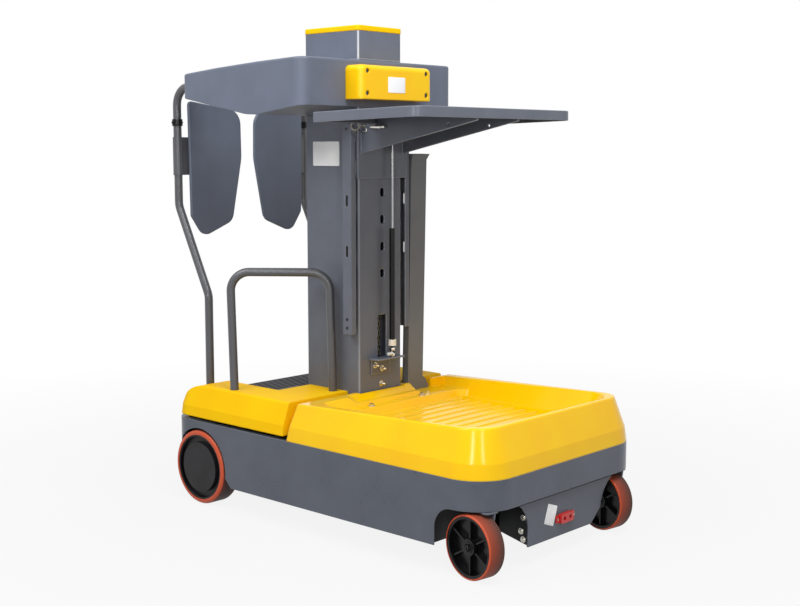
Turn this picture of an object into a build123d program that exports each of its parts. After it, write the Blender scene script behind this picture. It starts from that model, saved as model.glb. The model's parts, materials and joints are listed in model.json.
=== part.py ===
from build123d import *
import os
from math import radians, tan

# A small self-propelled order picker: a low chassis on two drive wheels and two swivel casters, a load tray
# in front, and an operator platform that rises behind it on a three-stage telescopic mast.
# Millimetres. +X points to the load tray, +Y to the operator's left, +Z up. The origin is on the floor, under
# the middle of the overall box.

# Base outline
WIDTH = 790.0
HALF = WIDTH / 2
FRONT_X = 718.0
REAR_X = -652.0
FRONT_CORNER_R = 122.0
REAR_CORNER_R = 80.0
SHEET = 4.0
SKIRT_LOW = 79.0
SKIRT_TOP = 281.0
SKIRT_LEDGE = 22.0
FRONT_SKIRT_LOW = 194.0
CASTER_ARCH_X = 538.0
CASTER_ARCH_R = 62.0

# Yellow mouldings
PAN_LOW = 293.0
CREASE_Z = 326.0
RIM_Z = 396.0
RIM_SLOPE_DEG = 1.9
PAN_REAR_R = 140.0
PAN_HOLLOW_X = -590.0
LOW_DRAFT = 8.0
HIGH_DRAFT = 20.0
TRAY_REAR_X = -72.0
TRAY_REAR_LEAN = 10.0
TRAY_FLOOR = 344.0
TRAY_FLOOR_X = 62.0
TRAY_FLOOR_INSET = 95.0
TRAY_INNER_DRAFT = 27.0
TRAY_LEDGE_X = 14.0
TRAY_LEDGE_Z = 367.0
TRAY_STEP_X = -8.0
TRAY_STEP_Z = 378.0
TRAY_STEP_HALF = 165.0
TRAY_STEP_DRAFT = 56.0
TRAY_BOLT_X = 34.0
TRAY_BOLT_Y = 121.0
TRAY_SKIN = 8.0
RIB_COUNT = 12
RIB_PITCH = 47.0
RIB_WIDTH = 20.0
RIB_LENGTH = 520.0
RIB_HEIGHT = 4.0
RIB_ROUND = 2.5
RIB_FIRST_X = 80.0
PAN_FRONT_X = -92.0
WELL_FLOOR = 344.0
WELL_HALF = 222.0
WELL_FRONT_X = -296.0
WELL_DRAFT = 18.0
MAT_THICK = 5.0
MAT_RIB = 3.0
MAT_PITCH = 20.0
MAT_REAR_X = -612.0
MAT_RIBS = 16

# Telescopic mast
COL_X0 = -287.0
COL_X1 = -40.0
COL_HALF = 101.0
COL_WALL = 6.0
COL_LOW = 130.0
COL_TOP = 1470.0
COL_R = 10.0
CAP_TOP = 1558.0
LID_TOP = 1575.0
MID_X0 = -250.0
MID_X1 = -74.0
MID_HALF = 68.0
MID_LOW = 100.0
MID_TOP = 1420.0
FIX_X0 = -222.0
FIX_X1 = -102.0
FIX_HALF = 50.0
FIX_TOP = 1390.0
MAST_WALL = 6.0
MAST_X = (FIX_X0 + FIX_X1) / 2
SLIDE_GAP = 0.3
RUN_GAP = 0.05
PAD_HEIGHT = 50.0
CHAIN_Y = 5.0
CHAIN_W = 26.0
CHAIN_T = 10.0
LIFT_CHAIN_X = -62.0
FIXED_CHAIN_X = -91.0
PULLEY_Z = 1446.0
LOCK_HOLE_LOW = 781.0
LOCK_PITCH = 88.5
LOCK_HOLES = 6
LOCK_Y = 8.0
LOCK_SLOT = (30.0, 20.0)
LOCK_Z = LOCK_HOLE_LOW + (LOCK_HOLES - 1) * LOCK_PITCH
WINDOW = (-16.0, 27.0, 496.0, 644.0)

# Side rails and load table
RAIL_LOW = 592.0
RAIL_TOP = 1262.0
RAIL_Y = 138.0
RAIL_X0 = -78.0
RAIL_X1 = -38.0
RAIL_WALL = 4.0
RAIL_LIP_Y = 117.0
RAIL_SLOTS = (859.0, 1021.0)
RAIL_SLOT = (38.0, 12.0)
RAIL_SCREW_Z = (612.0, 640.0, 1249.0)
TABLE_X0 = 36.0
TABLE_X1 = 455.0
TABLE_HALF = 375.0
TABLE_THICK = 30.4
TABLE_SKIN = 4.0
TABLE_CORNER_R = 45.0
TABLE_LEVEL = 1263.8
TABLE_TILT_DEG = 1.5
CARRIAGE_X0 = -37.0
CARRIAGE_X1 = -30.0
CARRIAGE_HALF = 114.0
CARRIAGE_LOW = 1092.0
CARRIAGE_TOP = 1262.0
SIDE_PLATE_Y = (104.0, 111.0)
GUSSET_Y = (94.0, 100.0)
GUSSET_LOW = 1171.0
GUSSET_TIP_X = 446.0
GUSSET_TIP_Z = 1270.0
GUSSET_HOLE = (333.0, 1258.0)
GUSSET_HOLE_R = 5.0
ANCHOR_Z = 415.0
SHELF_BOLTS = ((-33.0, 480.0), (0.0, 466.0))
SHELF_Z = (500.0, 505.0)
SHELF_T = 4.0
SPRING_X = -12.0
SPRING_Y = 26.0
SPRING_LOW = 545.0
SPRING_TOP = 929.0
ROD_TOP = 1232.0
CHUTE_X = -62.0
CHUTE_Y = (143.0, 218.0)
CHUTE_DEPTH = 26.0
CHUTE_WALL = 2.0
CHUTE_TOP = 1150.0
CHUTE_MOUTH = 20.0
CHUTE_LEAN_DEG = 1.2
CHUTE_NOTCH = (138.0, 256.0)
CHUTE_FOOT = (32.0, 40.0)
TRAY_BAY_X = -45.0

# Operator's guard, hoops, doors and console
TUBE_R = 14.0
TUBE_WALL = 2.5
TUBE_Y = 293.5
TUBE_FOOT_X = -567.0
TUBE_TOP_X = -720.0
TUBE_FOOT_Z = 360.0
TUBE_LOW_BEND_Z = 692.0
TUBE_HIGH_BEND_Z = 992.0
TUBE_ENTRY_Z = 1394.0
TUBE_ENTRY_X = -592.0
HOOP_REAR = (-386.0, -338.0)
HOOP_FRONT = (-134.0, -130.0)
HOOP_LEAN = 13.0
HOOP_LEAN_Z = 404.0
HOOP_TOP = 786.0
HOOP_BEND = 62.0
TUBE_BEND = 62.0
SOCKET_GAP = 0.3
DOOR_X = -700.0
DOOR_T = 12.0
DOOR_CORNERS = ((-264, 1350, 14), (-33, 1319, 56), (-30, 1153, 150), (-74, 932, 42), (-206, 880, 40),
                (-258, 955, 16))
HINGE_LOW = 1097.0
HINGE_TOP = 1226.0
SLEEVE_R = 17.0
COLLAR_R = 18.0
COLLAR_LOW = 1264.0
COLLAR_TOP = 1287.0
CONSOLE_HALF = 354.0
CONSOLE_FRONT = -32.0
CONSOLE_REAR = -623.0
CONSOLE_WALL = 5.0
CONSOLE_CORNER_R = 40.0
CONSOLE_REAR_R = 38.0
CONSOLE_HEEL_R = 38.0
CONSOLE_CROWN = 13.0
CONSOLE_EDGE_R = 7.0
ARM_INNER_Y = 250.0
ARM_FRONT_X = -330.0
ARM_CORNER_R = 60.0
DOOR_ROOM_X = -440.0
DOOR_ROOM_Z = 1362.0
DOOR_ROOM_HALF = 312.0
COVER_T = 4.0
CONSOLE_TOP_LINE = ((-700, 1425), (-435, 1446), (-240, 1457.5), (-32, 1466), (50, 1468))
CONSOLE_LOW_LINE = ((50, 1322), (-37, 1319), (-59, 1316), (-243, 1293), (-281, 1294.5), (-300, 1296.5),
                    (-558, 1344), (-700, 1370))
BOX_X1 = 37.0
BOX_HALF = 167.0
BOX_LOW = 1340.0
BOX_TOP = 1447.0
BOX_TOP_R = 18.0
BOX_FRONT_R = 20.0
BOX_SCREW_Y = 137.0
BOX_SCREW_Z = (1358.5, 1427.0)
CONTROL_Z = 1390.0
STOP_Y = 140.0
LEVER_Y = -140.0
ROCKER_Y = 0.0
PIVOT_X = -339.0
PIVOT_R = 4.0
LEVER_HALF = 14.0
ROCKER_HALF = 17.0
LUG = 6.0
PEDAL = (-420.0, -320.0, -150.0, -30.0)
PEDAL_LOW = 356.0
PEDAL_TOP = 364.0
PEDAL_AXIS_Z = 360.0

# Wheels
DRIVE_X = -504.0
DRIVE_R = 125.0
DRIVE_FACE_Y = 398.0
DRIVE_W = 75.0
DRIVE_RIM_R = 109.0
DRIVE_DISC_R = 84.0
DRIVE_SHAFT_R = 12.5
ARCH_R = 132.0
MOTOR_FACE_Y = 312.0
CASTER_R = 93.0
CASTER_W = 56.0
CASTER_RIM_R = 87.0
CASTER_DISH_R = 79.0
CASTER_AXLE_R = 10.0
CASTER_SPOKES = 6
CASTER_SPOKE_W = 5.0
KING_PIN_R = 7.0
SWIVEL_X = 676.0
SWIVEL_Y = 321.0
TRAIL = 16.0
CASTER_OFFSET = 36.0
SWIVEL_DEG = -8.0
YOKE_T = 6.0
CROWN_LOW = 188.5
CROWN_TOP = 193.0
CASTER_PLATE = (197.0, 206.0)

# Chassis
FLOOR_LOW = 82.0
FLOOR_TOP = 88.0
PLATE_X = 700.0
PLATE_T = 5.0
PLATE_EDGE = ((-176, 57), (-175, 118), (-179, 140), (-188, 158), (-201, 174), (-217, 186),
              (250, 186), (226, 170), (207, 148), (193, 118), (188, 98), (140, 57))
FLANGE_Y = -176.0
FLANGE_BOLTS = ((688.0, 141.0), (680.0, 100.0), (688.0, 77.0))
BEAM_END_X = 572.0
BAR_END_Y = 110.0
BAR_TOP = 176.0
SOCKET = (-44.0, 46.0, 97.0, 121.0)

TURN = {"X": Rot(0, 90, 0), "Y": Rot(-90, 0, 0), "Z": Rot(0, 0, 0), "-Y": Rot(90, 0, 0), "-X": Rot(0, -90, 0)}
FAR = 1000.0


def block(x0, x1, y0, y1, z0, z1):
    """Box between two corners."""
    return Pos((x0 + x1) / 2, (y0 + y1) / 2, (z0 + z1) / 2) * Box(x1 - x0, y1 - y0, z1 - z0)


def rod(radius, start, length, axis="Z"):
    """Cylinder that grows from its start point along one axis."""
    return Pos(*start) * TURN[axis] * Cylinder(radius, length, align=(Align.CENTER, Align.CENTER, Align.MIN))


def ring(outer, inner, start, length, axis="Z"):
    """Hollow cylinder that grows from its start point along one axis."""
    return rod(outer, start, length, axis) - rod(inner, start, length, axis)


def mirrored(shape):
    """The same shape on the other side of the machine."""
    return mirror(shape, about=Plane.XZ)


def pair(shape):
    """A shape together with its mirror image on the other side."""
    return shape + mirrored(shape)


def outline(x0, x1, half, r_front, r_rear, inset=0.0):
    """Plan outline: a rectangle with rounded corners, drawn in by inset all round."""
    plan = Pos((x0 + x1) / 2, 0) * Rectangle(x1 - x0 - 2 * inset, 2 * (half - inset))
    plan = fillet(plan.vertices().group_by(Axis.X)[-1], r_front - inset)
    return fillet(plan.vertices().group_by(Axis.X)[0], r_rear - inset)


def base_outline(inset=0.0):
    """The chassis in plan, drawn in by inset."""
    return outline(REAR_X, FRONT_X, HALF, FRONT_CORNER_R, REAR_CORNER_R, inset)


def prism_y(points, y0, y1):
    """Profile of (x, z) points carried along Y."""
    face = make_face(Polyline(*[(x, y0, z) for x, z in points], close=True))
    return extrude(face, amount=y1 - y0, dir=(0, 1, 0))


def prism_x(points, x0, x1):
    """Profile of (y, z) points carried along X."""
    face = make_face(Polyline(*[(x0, y, z) for y, z in points], close=True))
    return extrude(face, amount=x1 - x0, dir=(1, 0, 0))


def box_tube(x0, x1, half, wall, z0, z1, radius=0.0):
    """Upright rectangular tube, with rounded outer edges where a radius is given."""
    outer = block(x0, x1, -half, half, z0, z1)
    if radius:
        outer = fillet(outer.edges().filter_by(Axis.Z), radius)
    return outer - block(x0 + wall, x1 - wall, wall - half, half - wall, z0, z1)


def bent_tube(points, radius):
    """Round tube along straight runs joined by bends."""
    path = FilletPolyline(*points, radius=radius)
    section = Plane(origin=path @ 0, z_dir=path % 0) * (Circle(TUBE_R) - Circle(TUBE_R - TUBE_WALL))
    return sweep(section, path=path)


def hex_bolt(radius, start, head, axis):
    """Bolt head on its washer, standing out of a face along one axis."""
    cap = extrude(RegularPolygon(radius, 6), amount=head)
    return rod(1.5 * radius, start, 0.25 * head, axis) + Pos(*start) * TURN[axis] * cap


def group(shapes):
    """Separate solids kept in one node."""
    return Part() + list(shapes)


# Chassis

def base_skirt():
    """Bent sheet round the chassis, open for the drive wheels and, at its front, for the casters."""
    height = SKIRT_TOP - SKIRT_LOW
    wall = base_outline() - base_outline(SHEET)
    ledge = base_outline() - base_outline(SKIRT_LEDGE)
    skirt = extrude(Pos(0, 0, SKIRT_LOW) * wall, amount=height)
    skirt += extrude(Pos(0, 0, SKIRT_TOP - SHEET) * ledge, amount=SHEET)
    front_cut = block(CASTER_ARCH_X, FAR, -FAR, FAR, 0, FRONT_SKIRT_LOW)
    arch_corner = front_cut.edges().filter_by(Axis.Y).group_by(Axis.X)[0].sort_by(Axis.Z)[-1]
    skirt -= fillet(arch_corner, CASTER_ARCH_R)
    inner_y = DRIVE_FACE_Y - DRIVE_W - 12
    arch = rod(ARCH_R, (DRIVE_X, inner_y, DRIVE_R), 200, "Y")
    arch += block(-FAR, DRIVE_X, inner_y, HALF + 100, 0, DRIVE_R)
    flare = [(DRIVE_X, 0), (DRIVE_X, 109), (-375, 109), (-345, SKIRT_LOW), (-345, 0)]
    arch += prism_y(flare, inner_y, HALF + 100)
    return skirt - pair(arch)


def chassis_frame():
    """Welded frame: floor plate, beams, bulkheads, motor plates, caster plates, front cheek and bars."""
    frame = block(-345, 530, -380, 380, FLOOR_LOW, FLOOR_TOP)
    frame += block(520, PLATE_X, FLANGE_Y, BAR_END_Y, FLOOR_LOW, FLOOR_TOP)
    cheek = [(600, 84), (PLATE_X, 62), (PLATE_X, BAR_TOP), (600, BAR_TOP)]
    frame += prism_y(cheek, FLANGE_Y, FLANGE_Y + PLATE_T)
    frame += pair(block(-420, BEAM_END_X, 200, 236, FLOOR_TOP, 240))
    frame += pair(block(522, 530, 200, 384, FLOOR_TOP, 240))
    frame += pair(block(-420, -345, 200, 308, FLOOR_LOW, 240))
    frame += pair(block(-606, -400, 300, 308, 70, 272))
    frame += block(-606, -400, -308, 308, 264, 272)
    frame += pair(block(-362, -300, 200, 388, 232, 276))
    frame += pair(block(-350, 550, 330, 384, 262, 276))
    frame += pair(block(500, 560, 200, 388, 232, 276))
    frame += block(540, 600, -236, 236, 206, 276)
    frame += block(PLATE_X - 30, PLATE_X, FLANGE_Y, BAR_END_Y, FLOOR_TOP, BAR_TOP)
    plate_t = CASTER_PLATE[1] - CASTER_PLATE[0]
    corners = extrude(Pos(0, 0, CASTER_PLATE[0]) * base_outline(SHEET + 1), amount=plate_t)
    frame += corners & block(550, FAR, -FAR, FAR, 0, FAR)
    for side in (-1, 1):
        frame -= rod(KING_PIN_R + RUN_GAP, (SWIVEL_X, side * SWIVEL_Y, 150), 150)
        frame -= rod(62, (DRIVE_X, side * 304 - 10, DRIVE_R), 20, "Y")
    return frame - block(COL_X0 - 12, COL_X1 + 14, -COL_HALF - 12, COL_HALF + 12, FLOOR_TOP, FAR)


def front_plate():
    """Sheet between the casters, cut back on both sides to let them swing."""
    return prism_x(PLATE_EDGE, PLATE_X, PLATE_X + PLATE_T)


def charging_socket():
    """Red charging socket: a screwed flange with a raised body and two contact wells."""
    x = PLATE_X + PLATE_T
    y0, y1, z0, z1 = SOCKET
    flange = fillet(block(x, x + 4, y0, y1, z0, z1).edges().filter_by(Axis.X), 4)
    body = fillet(block(x, x + 12, y0 + 14, y1 - 14, z0 - 2, z1 + 2).edges().filter_by(Axis.X), 5)
    wells = [rod(6, (x + 3, y, (z0 + z1) / 2), 20, "X") for y in (y0 + 31, y1 - 31)]
    return flange + body - group(wells)


def chassis_bolts():
    """Bolts of the frame's front cheek, screws of the charging socket and the tray's two flanged bolts."""
    cover_x = PLATE_X + PLATE_T + 4
    flange = [hex_bolt(6, (x, FLANGE_Y, z), 7, "-Y") for x, z in FLANGE_BOLTS]
    socket_z = (SOCKET[2] + SOCKET[3]) / 2
    cover = [rod(4, (cover_x, y, socket_z), 2, "X") for y in (SOCKET[0] + 7, SOCKET[1] - 7)]
    tray = [hex_bolt(8, (TRAY_BOLT_X, side * TRAY_BOLT_Y, TRAY_LEDGE_Z), 8, "Z") for side in (-1, 1)]
    return group(flange + cover + tray)


def drafted_wall(z_low, z_high):
    """Outer form of the yellow mouldings: steep below the crease, sloping above it."""
    low_inset = (z_low - SKIRT_TOP) * tan(radians(LOW_DRAFT))
    crease_inset = (CREASE_Z - SKIRT_TOP) * tan(radians(LOW_DRAFT))
    form = extrude(Pos(0, 0, z_low) * base_outline(low_inset), amount=CREASE_Z - z_low, taper=LOW_DRAFT)
    upper = Pos(0, 0, CREASE_Z) * base_outline(crease_inset)
    return form + extrude(upper, amount=z_high - CREASE_Z, taper=HIGH_DRAFT)


def load_tray():
    """Yellow moulding with drafted walls, a rolled rim, a ribbed floor and a step round the mast."""
    tray = drafted_wall(SKIRT_TOP, 440)
    under = extrude(Pos(0, 0, SKIRT_TOP) * base_outline(TRAY_SKIN + 4),
                    amount=TRAY_FLOOR - TRAY_SKIN - SKIRT_TOP, taper=LOW_DRAFT)
    tray -= under & block(TRAY_REAR_X + 2 * TRAY_SKIN, FAR, -FAR, FAR, 0, FAR)
    level = Pos(TRAY_REAR_X, 0, RIM_Z) * Rot(0, -RIM_SLOPE_DEG, 0)
    tray -= level * Box(3 * FAR, 2 * FAR, 300, align=(Align.CENTER, Align.CENTER, Align.MIN))
    lean = Pos(TRAY_REAR_X, 0, SKIRT_TOP) * Rot(0, TRAY_REAR_LEAN, 0)
    tray -= lean * Box(FAR, 2 * FAR, FAR, align=(Align.MAX, Align.CENTER, Align.CENTER))
    floor = outline(TRAY_FLOOR_X, FRONT_X - TRAY_FLOOR_INSET, HALF - TRAY_FLOOR_INSET, 60, 30)
    ledge = outline(TRAY_LEDGE_X, 260, HALF - TRAY_FLOOR_INSET + 10, 40, 30)
    step = outline(TRAY_STEP_X, 200, TRAY_STEP_HALF, 30, 30)
    hollow = extrude(Pos(0, 0, TRAY_FLOOR) * floor, amount=140, taper=-TRAY_INNER_DRAFT)
    hollow += extrude(Pos(0, 0, TRAY_LEDGE_Z) * ledge, amount=120, taper=-TRAY_INNER_DRAFT)
    tray -= hollow
    rims = tray.faces().filter_by(lambda f: f.normal_at().Z > 0.99).group_by(Axis.Z)[-1]
    rim = rims.sort_by(SortBy.AREA)[-1].edges()
    tray = fillet(rim.filter_by(lambda e: e.center().X > TRAY_REAR_X + 25), 7)
    tray -= extrude(Pos(0, 0, TRAY_STEP_Z) * step, amount=40, taper=-TRAY_STEP_DRAFT)
    tray -= block(-FAR, TRAY_LEDGE_X + 6, *CHUTE_NOTCH, TRAY_LEDGE_Z, FAR)
    bay_y = HALF - TRAY_FLOOR_INSET + 10
    bay_top = TRAY_LEDGE_Z + 50
    bay_top_y = bay_y + 50 * tan(radians(TRAY_INNER_DRAFT))
    bay_start = CHUTE_NOTCH[0]
    bay = [(bay_start, TRAY_LEDGE_Z), (bay_y, TRAY_LEDGE_Z), (bay_top_y, bay_top), (bay_start, bay_top)]
    tray -= prism_x(bay, TRAY_BAY_X, TRAY_LEDGE_X + 40)
    bar = Rot(0, 0, 90) * SlotOverall(RIB_LENGTH, RIB_WIDTH)
    for i in range(RIB_COUNT):
        rib = extrude(Pos(RIB_FIRST_X + i * RIB_PITCH, 0, TRAY_FLOOR) * bar, amount=RIB_HEIGHT)
        tray += fillet(rib.faces().sort_by(Axis.Z)[-1].edges(), RIB_ROUND)
    return tray - block(-FAR, COL_X1 + 6, -COL_HALF - 6, COL_HALF + 6, 0, FAR)


def fixed_mast():
    """Innermost mast stage, standing on its foot flange."""
    mast = box_tube(FIX_X0, FIX_X1, FIX_HALF, MAST_WALL, FLOOR_TOP, FIX_TOP)
    foot = block(FIX_X0 - 8, FIX_X1 + 8, -66, 66, FLOOR_TOP, FLOOR_TOP + 10)
    return mast + foot - block(FIX_X0 + 6, FIX_X1 - 6, 6 - FIX_HALF, FIX_HALF - 6, FLOOR_TOP, FIX_TOP)


def fixed_mast_pads():
    """Slide pads at the top of the fixed stage, running inside the middle stage."""
    z1 = FIX_TOP - 10
    z0 = z1 - PAD_HEIGHT
    side = pair(block(FIX_X0 + 22, FIX_X1 - 22, FIX_HALF, MID_HALF - MAST_WALL - SLIDE_GAP, z0, z1))
    rear = block(MID_X0 + MAST_WALL + SLIDE_GAP, FIX_X0, -36, 36, z0, z1)
    front_x = MID_X1 - MAST_WALL - SLIDE_GAP
    front = [block(FIX_X1, front_x, y0, y1, z0, z1) for y0, y1 in ((-46, -16), (26, 46))]
    return group([side, rear] + front)


def lift_cylinder():
    """Hydraulic barrel with its gland, standing inside the fixed mast."""
    barrel = rod(25, (MAST_X, 0, FLOOR_TOP), 1100)
    barrel -= rod(20, (MAST_X, 0, FLOOR_TOP + 12), 1048)
    return barrel - rod(15 + RUN_GAP, (MAST_X, 0, FLOOR_TOP + 100), 1100)


def fixed_chain_run():
    """Chain run from the chassis up to the pulley."""
    return chain_bar(FIXED_CHAIN_X, FLOOR_TOP + 10, PULLEY_Z)


def chain_bar(x, z0, z1):
    """Straight run of flat chain."""
    return block(x - CHAIN_T / 2, x + CHAIN_T / 2, CHAIN_Y - CHAIN_W / 2, CHAIN_Y + CHAIN_W / 2, z0, z1)


def battery_pack():
    """Two traction batteries side by side."""
    cell = fillet(block(80, 400, 12, 180, FLOOR_TOP, 284).edges().filter_by(Axis.Z), 8)
    posts = group([rod(9, (x, 96, 284), 14) for x in (120, 360)])
    return pair(cell + posts)


def power_unit():
    """Hydraulic pump motor on its oil tank."""
    tank = fillet(block(425, 520, -180, -20, FLOOR_TOP, 170).edges().filter_by(Axis.Z), 10)
    return tank + rod(42, (472, -100, 170), 110) + rod(12, (472, -40, 170), 25)


def drive_motors():
    """Two drive motors with gearboxes, each flanged to its motor plate."""
    face = MOTOR_FACE_Y
    motor = rod(60, (DRIVE_X, 130, DRIVE_R), face - 130, "Y")
    motor += rod(48, (DRIVE_X, 60, DRIVE_R), 70, "Y")
    motor += rod(74, (DRIVE_X, 292, DRIVE_R), 8, "Y")
    return pair(motor - rod(DRIVE_SHAFT_R + RUN_GAP, (DRIVE_X, 230, DRIVE_R), 200, "Y"))


def cable_chute():
    """Flat duct that stands in a notch of the tray beside the mast, flared at its mouth and at its foot."""
    width = CHUTE_Y[1] - CHUTE_Y[0]
    inner = (CHUTE_DEPTH - 2 * CHUTE_WALL, width - 2 * CHUTE_WALL)
    foot = TRAY_LEDGE_Z + 1
    duct = extrude(Rectangle(CHUTE_DEPTH, width) - Rectangle(*inner), amount=CHUTE_TOP + CHUTE_MOUTH - foot)
    duct -= Pos(0, 0, CHUTE_TOP - foot) * block(-FAR, FAR, CHUTE_WALL - width / 2, FAR, 0, FAR)
    flare = extrude(Rectangle(CHUTE_DEPTH, width), amount=CHUTE_MOUTH, taper=-20)
    flare -= extrude(Rectangle(*inner), amount=CHUTE_MOUTH, taper=-20)
    flare &= block(-FAR, FAR, -width / 2, FAR, 0, FAR)
    duct += Pos(0, 0, CHUTE_TOP - foot) * flare
    reach, rise = CHUTE_FOOT
    side = width / 2
    inside = side - CHUTE_WALL
    toe = [(inside, 0), (side + reach, 0), (side + reach / 2, 0.8 * rise), (side + 4, rise), (inside, rise)]
    duct += prism_x(toe, -CHUTE_DEPTH / 2, CHUTE_DEPTH / 2)
    return Pos(CHUTE_X, sum(CHUTE_Y) / 2, foot) * Rot(0, CHUTE_LEAN_DEG, 0) * duct


# Middle mast stage

def middle_mast():
    """Middle stage with a crosshead that the lift rod pushes and ears for the chain pulley."""
    mast = box_tube(MID_X0, MID_X1, MID_HALF, MAST_WALL, MID_LOW, MID_TOP)
    mast += block(MID_X0 + 1, MID_X1 - 1, 1 - MID_HALF, MID_HALF - 1, MID_TOP - 10, MID_TOP)
    pulley_x = (LIFT_CHAIN_X + FIXED_CHAIN_X) / 2
    for y0 in (CHAIN_Y - 29, CHAIN_Y + 21):
        mast += block(-92, -62, y0, y0 + 8, MID_TOP, PULLEY_Z + 12)
    mast -= rod(6 + RUN_GAP, (pulley_x, -FAR, PULLEY_Z), 2 * FAR, "Y")
    x0, x1 = FIXED_CHAIN_X - 8, FIXED_CHAIN_X + 8
    return mast - block(x0, x1, CHAIN_Y - 17, CHAIN_Y + 17, MID_TOP - 20, MID_TOP)


def middle_mast_pads():
    """Slide pads at the top of the middle stage, running inside the column."""
    z1 = MID_TOP - 20
    return mast_pads(MID_X0, MID_X1, MID_HALF, 0, SLIDE_GAP, z1 - PAD_HEIGHT, z1)


def column_pads():
    """Slide pads at the foot of the column, running on the middle stage."""
    z0 = COL_LOW + 10
    return mast_pads(MID_X0, MID_X1, MID_HALF, SLIDE_GAP, 0, z0, z0 + PAD_HEIGHT)


def mast_pads(x0, x1, half, gap_in, gap_out, z0, z1):
    """Pads that fill the space between the middle stage and the column, clear of the chain."""
    rear_x = COL_X0 + COL_WALL + gap_out
    front_x = COL_X1 - COL_WALL - gap_out
    side = pair(block(x0 + 30, x1 - 30, half + gap_in, COL_HALF - COL_WALL - gap_out, z0, z1))
    rear = block(rear_x, x0 - gap_in, -40, 40, z0, z1)
    front = [block(x1 + gap_in, front_x, y0, y1, z0, z1) for y0, y1 in ((-60, -22), (32, 60))]
    return group([side, rear] + front)


def lift_rod():
    """Piston rod that pushes the middle stage up."""
    return rod(15, (MAST_X, 0, 104), MID_TOP - 10 - 104) + rod(20 - RUN_GAP, (MAST_X, 0, 104), 30)


def chain_pulley():
    """Flanged pulley with its pin, over which the lift chain runs."""
    x = (LIFT_CHAIN_X + FIXED_CHAIN_X) / 2
    y0 = CHAIN_Y - 19
    wheel = rod(9, (x, y0, PULLEY_Z), 38, "Y")
    wheel += rod(14, (x, y0, PULLEY_Z), 4, "Y") + rod(14, (x, y0 + 34, PULLEY_Z), 4, "Y")
    return wheel + rod(6, (x, CHAIN_Y - 31, PULLEY_Z), 62, "Y")


# Rising platform

def slot_y(length, width, depth):
    """Upright slot with round ends, cut along X."""
    face = Plane.YZ * Rot(0, 0, 90) * SlotOverall(length, width)
    return extrude(face, amount=depth, both=True)


def mast_column():
    """Outer stage: the tall box column with its lock holes and chain window."""
    column = box_tube(COL_X0, COL_X1, COL_HALF, COL_WALL, COL_LOW, COL_TOP, COL_R)
    for i in range(LOCK_HOLES):
        column -= Pos(COL_X1, LOCK_Y, LOCK_HOLE_LOW + i * LOCK_PITCH) * slot_y(*LOCK_SLOT, 12)
    y0, y1, z0, z1 = WINDOW
    return column - block(COL_X1 - 12, COL_X1 + 12, y0, y1, z0, z1)


def mast_cap():
    """Box that closes the column above the console."""
    return box_tube(COL_X0, COL_X1, COL_HALF, COL_WALL, COL_TOP, CAP_TOP, COL_R)


def cap_lid():
    """Yellow lid on the mast cap."""
    lid = block(COL_X0 - 1, COL_X1 + 1, -COL_HALF - 1, COL_HALF + 1, CAP_TOP, LID_TOP)
    lid = fillet(lid.edges().filter_by(Axis.Z), COL_R)
    return fillet(lid.faces().sort_by(Axis.Z)[-1].edges(), 3)


def side_rails():
    """Two lipped channels on the column's sides that guide the load table."""
    rail = block(RAIL_X0, RAIL_X1, -RAIL_Y, RAIL_WALL - RAIL_Y, RAIL_LOW, RAIL_TOP)
    rail += block(RAIL_X1 - RAIL_WALL, RAIL_X1, -RAIL_Y, -RAIL_LIP_Y, RAIL_LOW, RAIL_TOP)
    rail += block(RAIL_X0, RAIL_X0 + RAIL_WALL, -RAIL_Y, -COL_HALF, RAIL_LOW, RAIL_TOP)
    corner = rail.edges().filter_by(Axis.Z).filter_by(lambda e: abs(e.center().Y + RAIL_Y) < 0.1)
    rail = fillet(corner, 3)
    for z in RAIL_SLOTS:
        slot = Pos((RAIL_X0 + RAIL_X1) / 2, -RAIL_Y, z) * Rot(0, 0, 90) * slot_y(*RAIL_SLOT, 10)
        rail -= slot
    return pair(rail)


def lift_chain_run():
    """Chain run from the pulley down to its anchor on the column's front wall."""
    chain = chain_bar(LIFT_CHAIN_X, 410, PULLEY_Z)
    return chain + block(LIFT_CHAIN_X, COL_X1 - COL_WALL, CHAIN_Y - 13, CHAIN_Y + 13, 405, 490)


def platform_screws():
    """Anchor, bracket and rail screws on the column and the sunk screws of the front box."""
    anchor = [hex_bolt(6.5, (COL_X1, 0, ANCHOR_Z), 8, "X")]
    shelf = [hex_bolt(6.5, (COL_X1 + SHELF_T, y, z), 8, "X") for y, z in SHELF_BOLTS]
    mid = (RAIL_X0 + RAIL_X1) / 2
    rails = [rod(4.5, (mid, -RAIL_Y, z), 2.5, "-Y") for z in RAIL_SCREW_Z]
    rails += [rod(4.5, (mid, RAIL_Y, z), 2.5, "Y") for z in RAIL_SCREW_Z]
    places = [(y, z) for y in (-BOX_SCREW_Y, BOX_SCREW_Y) for z in BOX_SCREW_Z]
    sunk = [rod(6, (BOX_X1 - 6, y, z), 3, "X") for y, z in places]
    return group(anchor + shelf + rails + sunk)


def spring_bracket():
    """Angle on the column's front that carries the gas spring's foot."""
    shelf = block(COL_X1, 4, -58, 68, *SHELF_Z)
    return shelf + block(COL_X1, COL_X1 + SHELF_T, -48, 40, 450, SHELF_Z[0])


def gas_spring_cylinder():
    """Gas spring body with its stud, foot up from the bracket."""
    body = rod(9.5, (SPRING_X, SPRING_Y, SPRING_LOW), SPRING_TOP - SPRING_LOW)
    body = fillet(body.edges(), 1.5)
    body -= rod(7.5, (SPRING_X, SPRING_Y, SPRING_LOW + 12), 356)
    body -= rod(4 + RUN_GAP, (SPRING_X, SPRING_Y, SPRING_LOW + 100), FAR)
    stud = rod(5, (SPRING_X, SPRING_Y, SHELF_Z[1]), SPRING_LOW - SHELF_Z[1])
    return body + stud + rod(8, (SPRING_X, SPRING_Y, SHELF_Z[1] + 7), 12)


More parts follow.
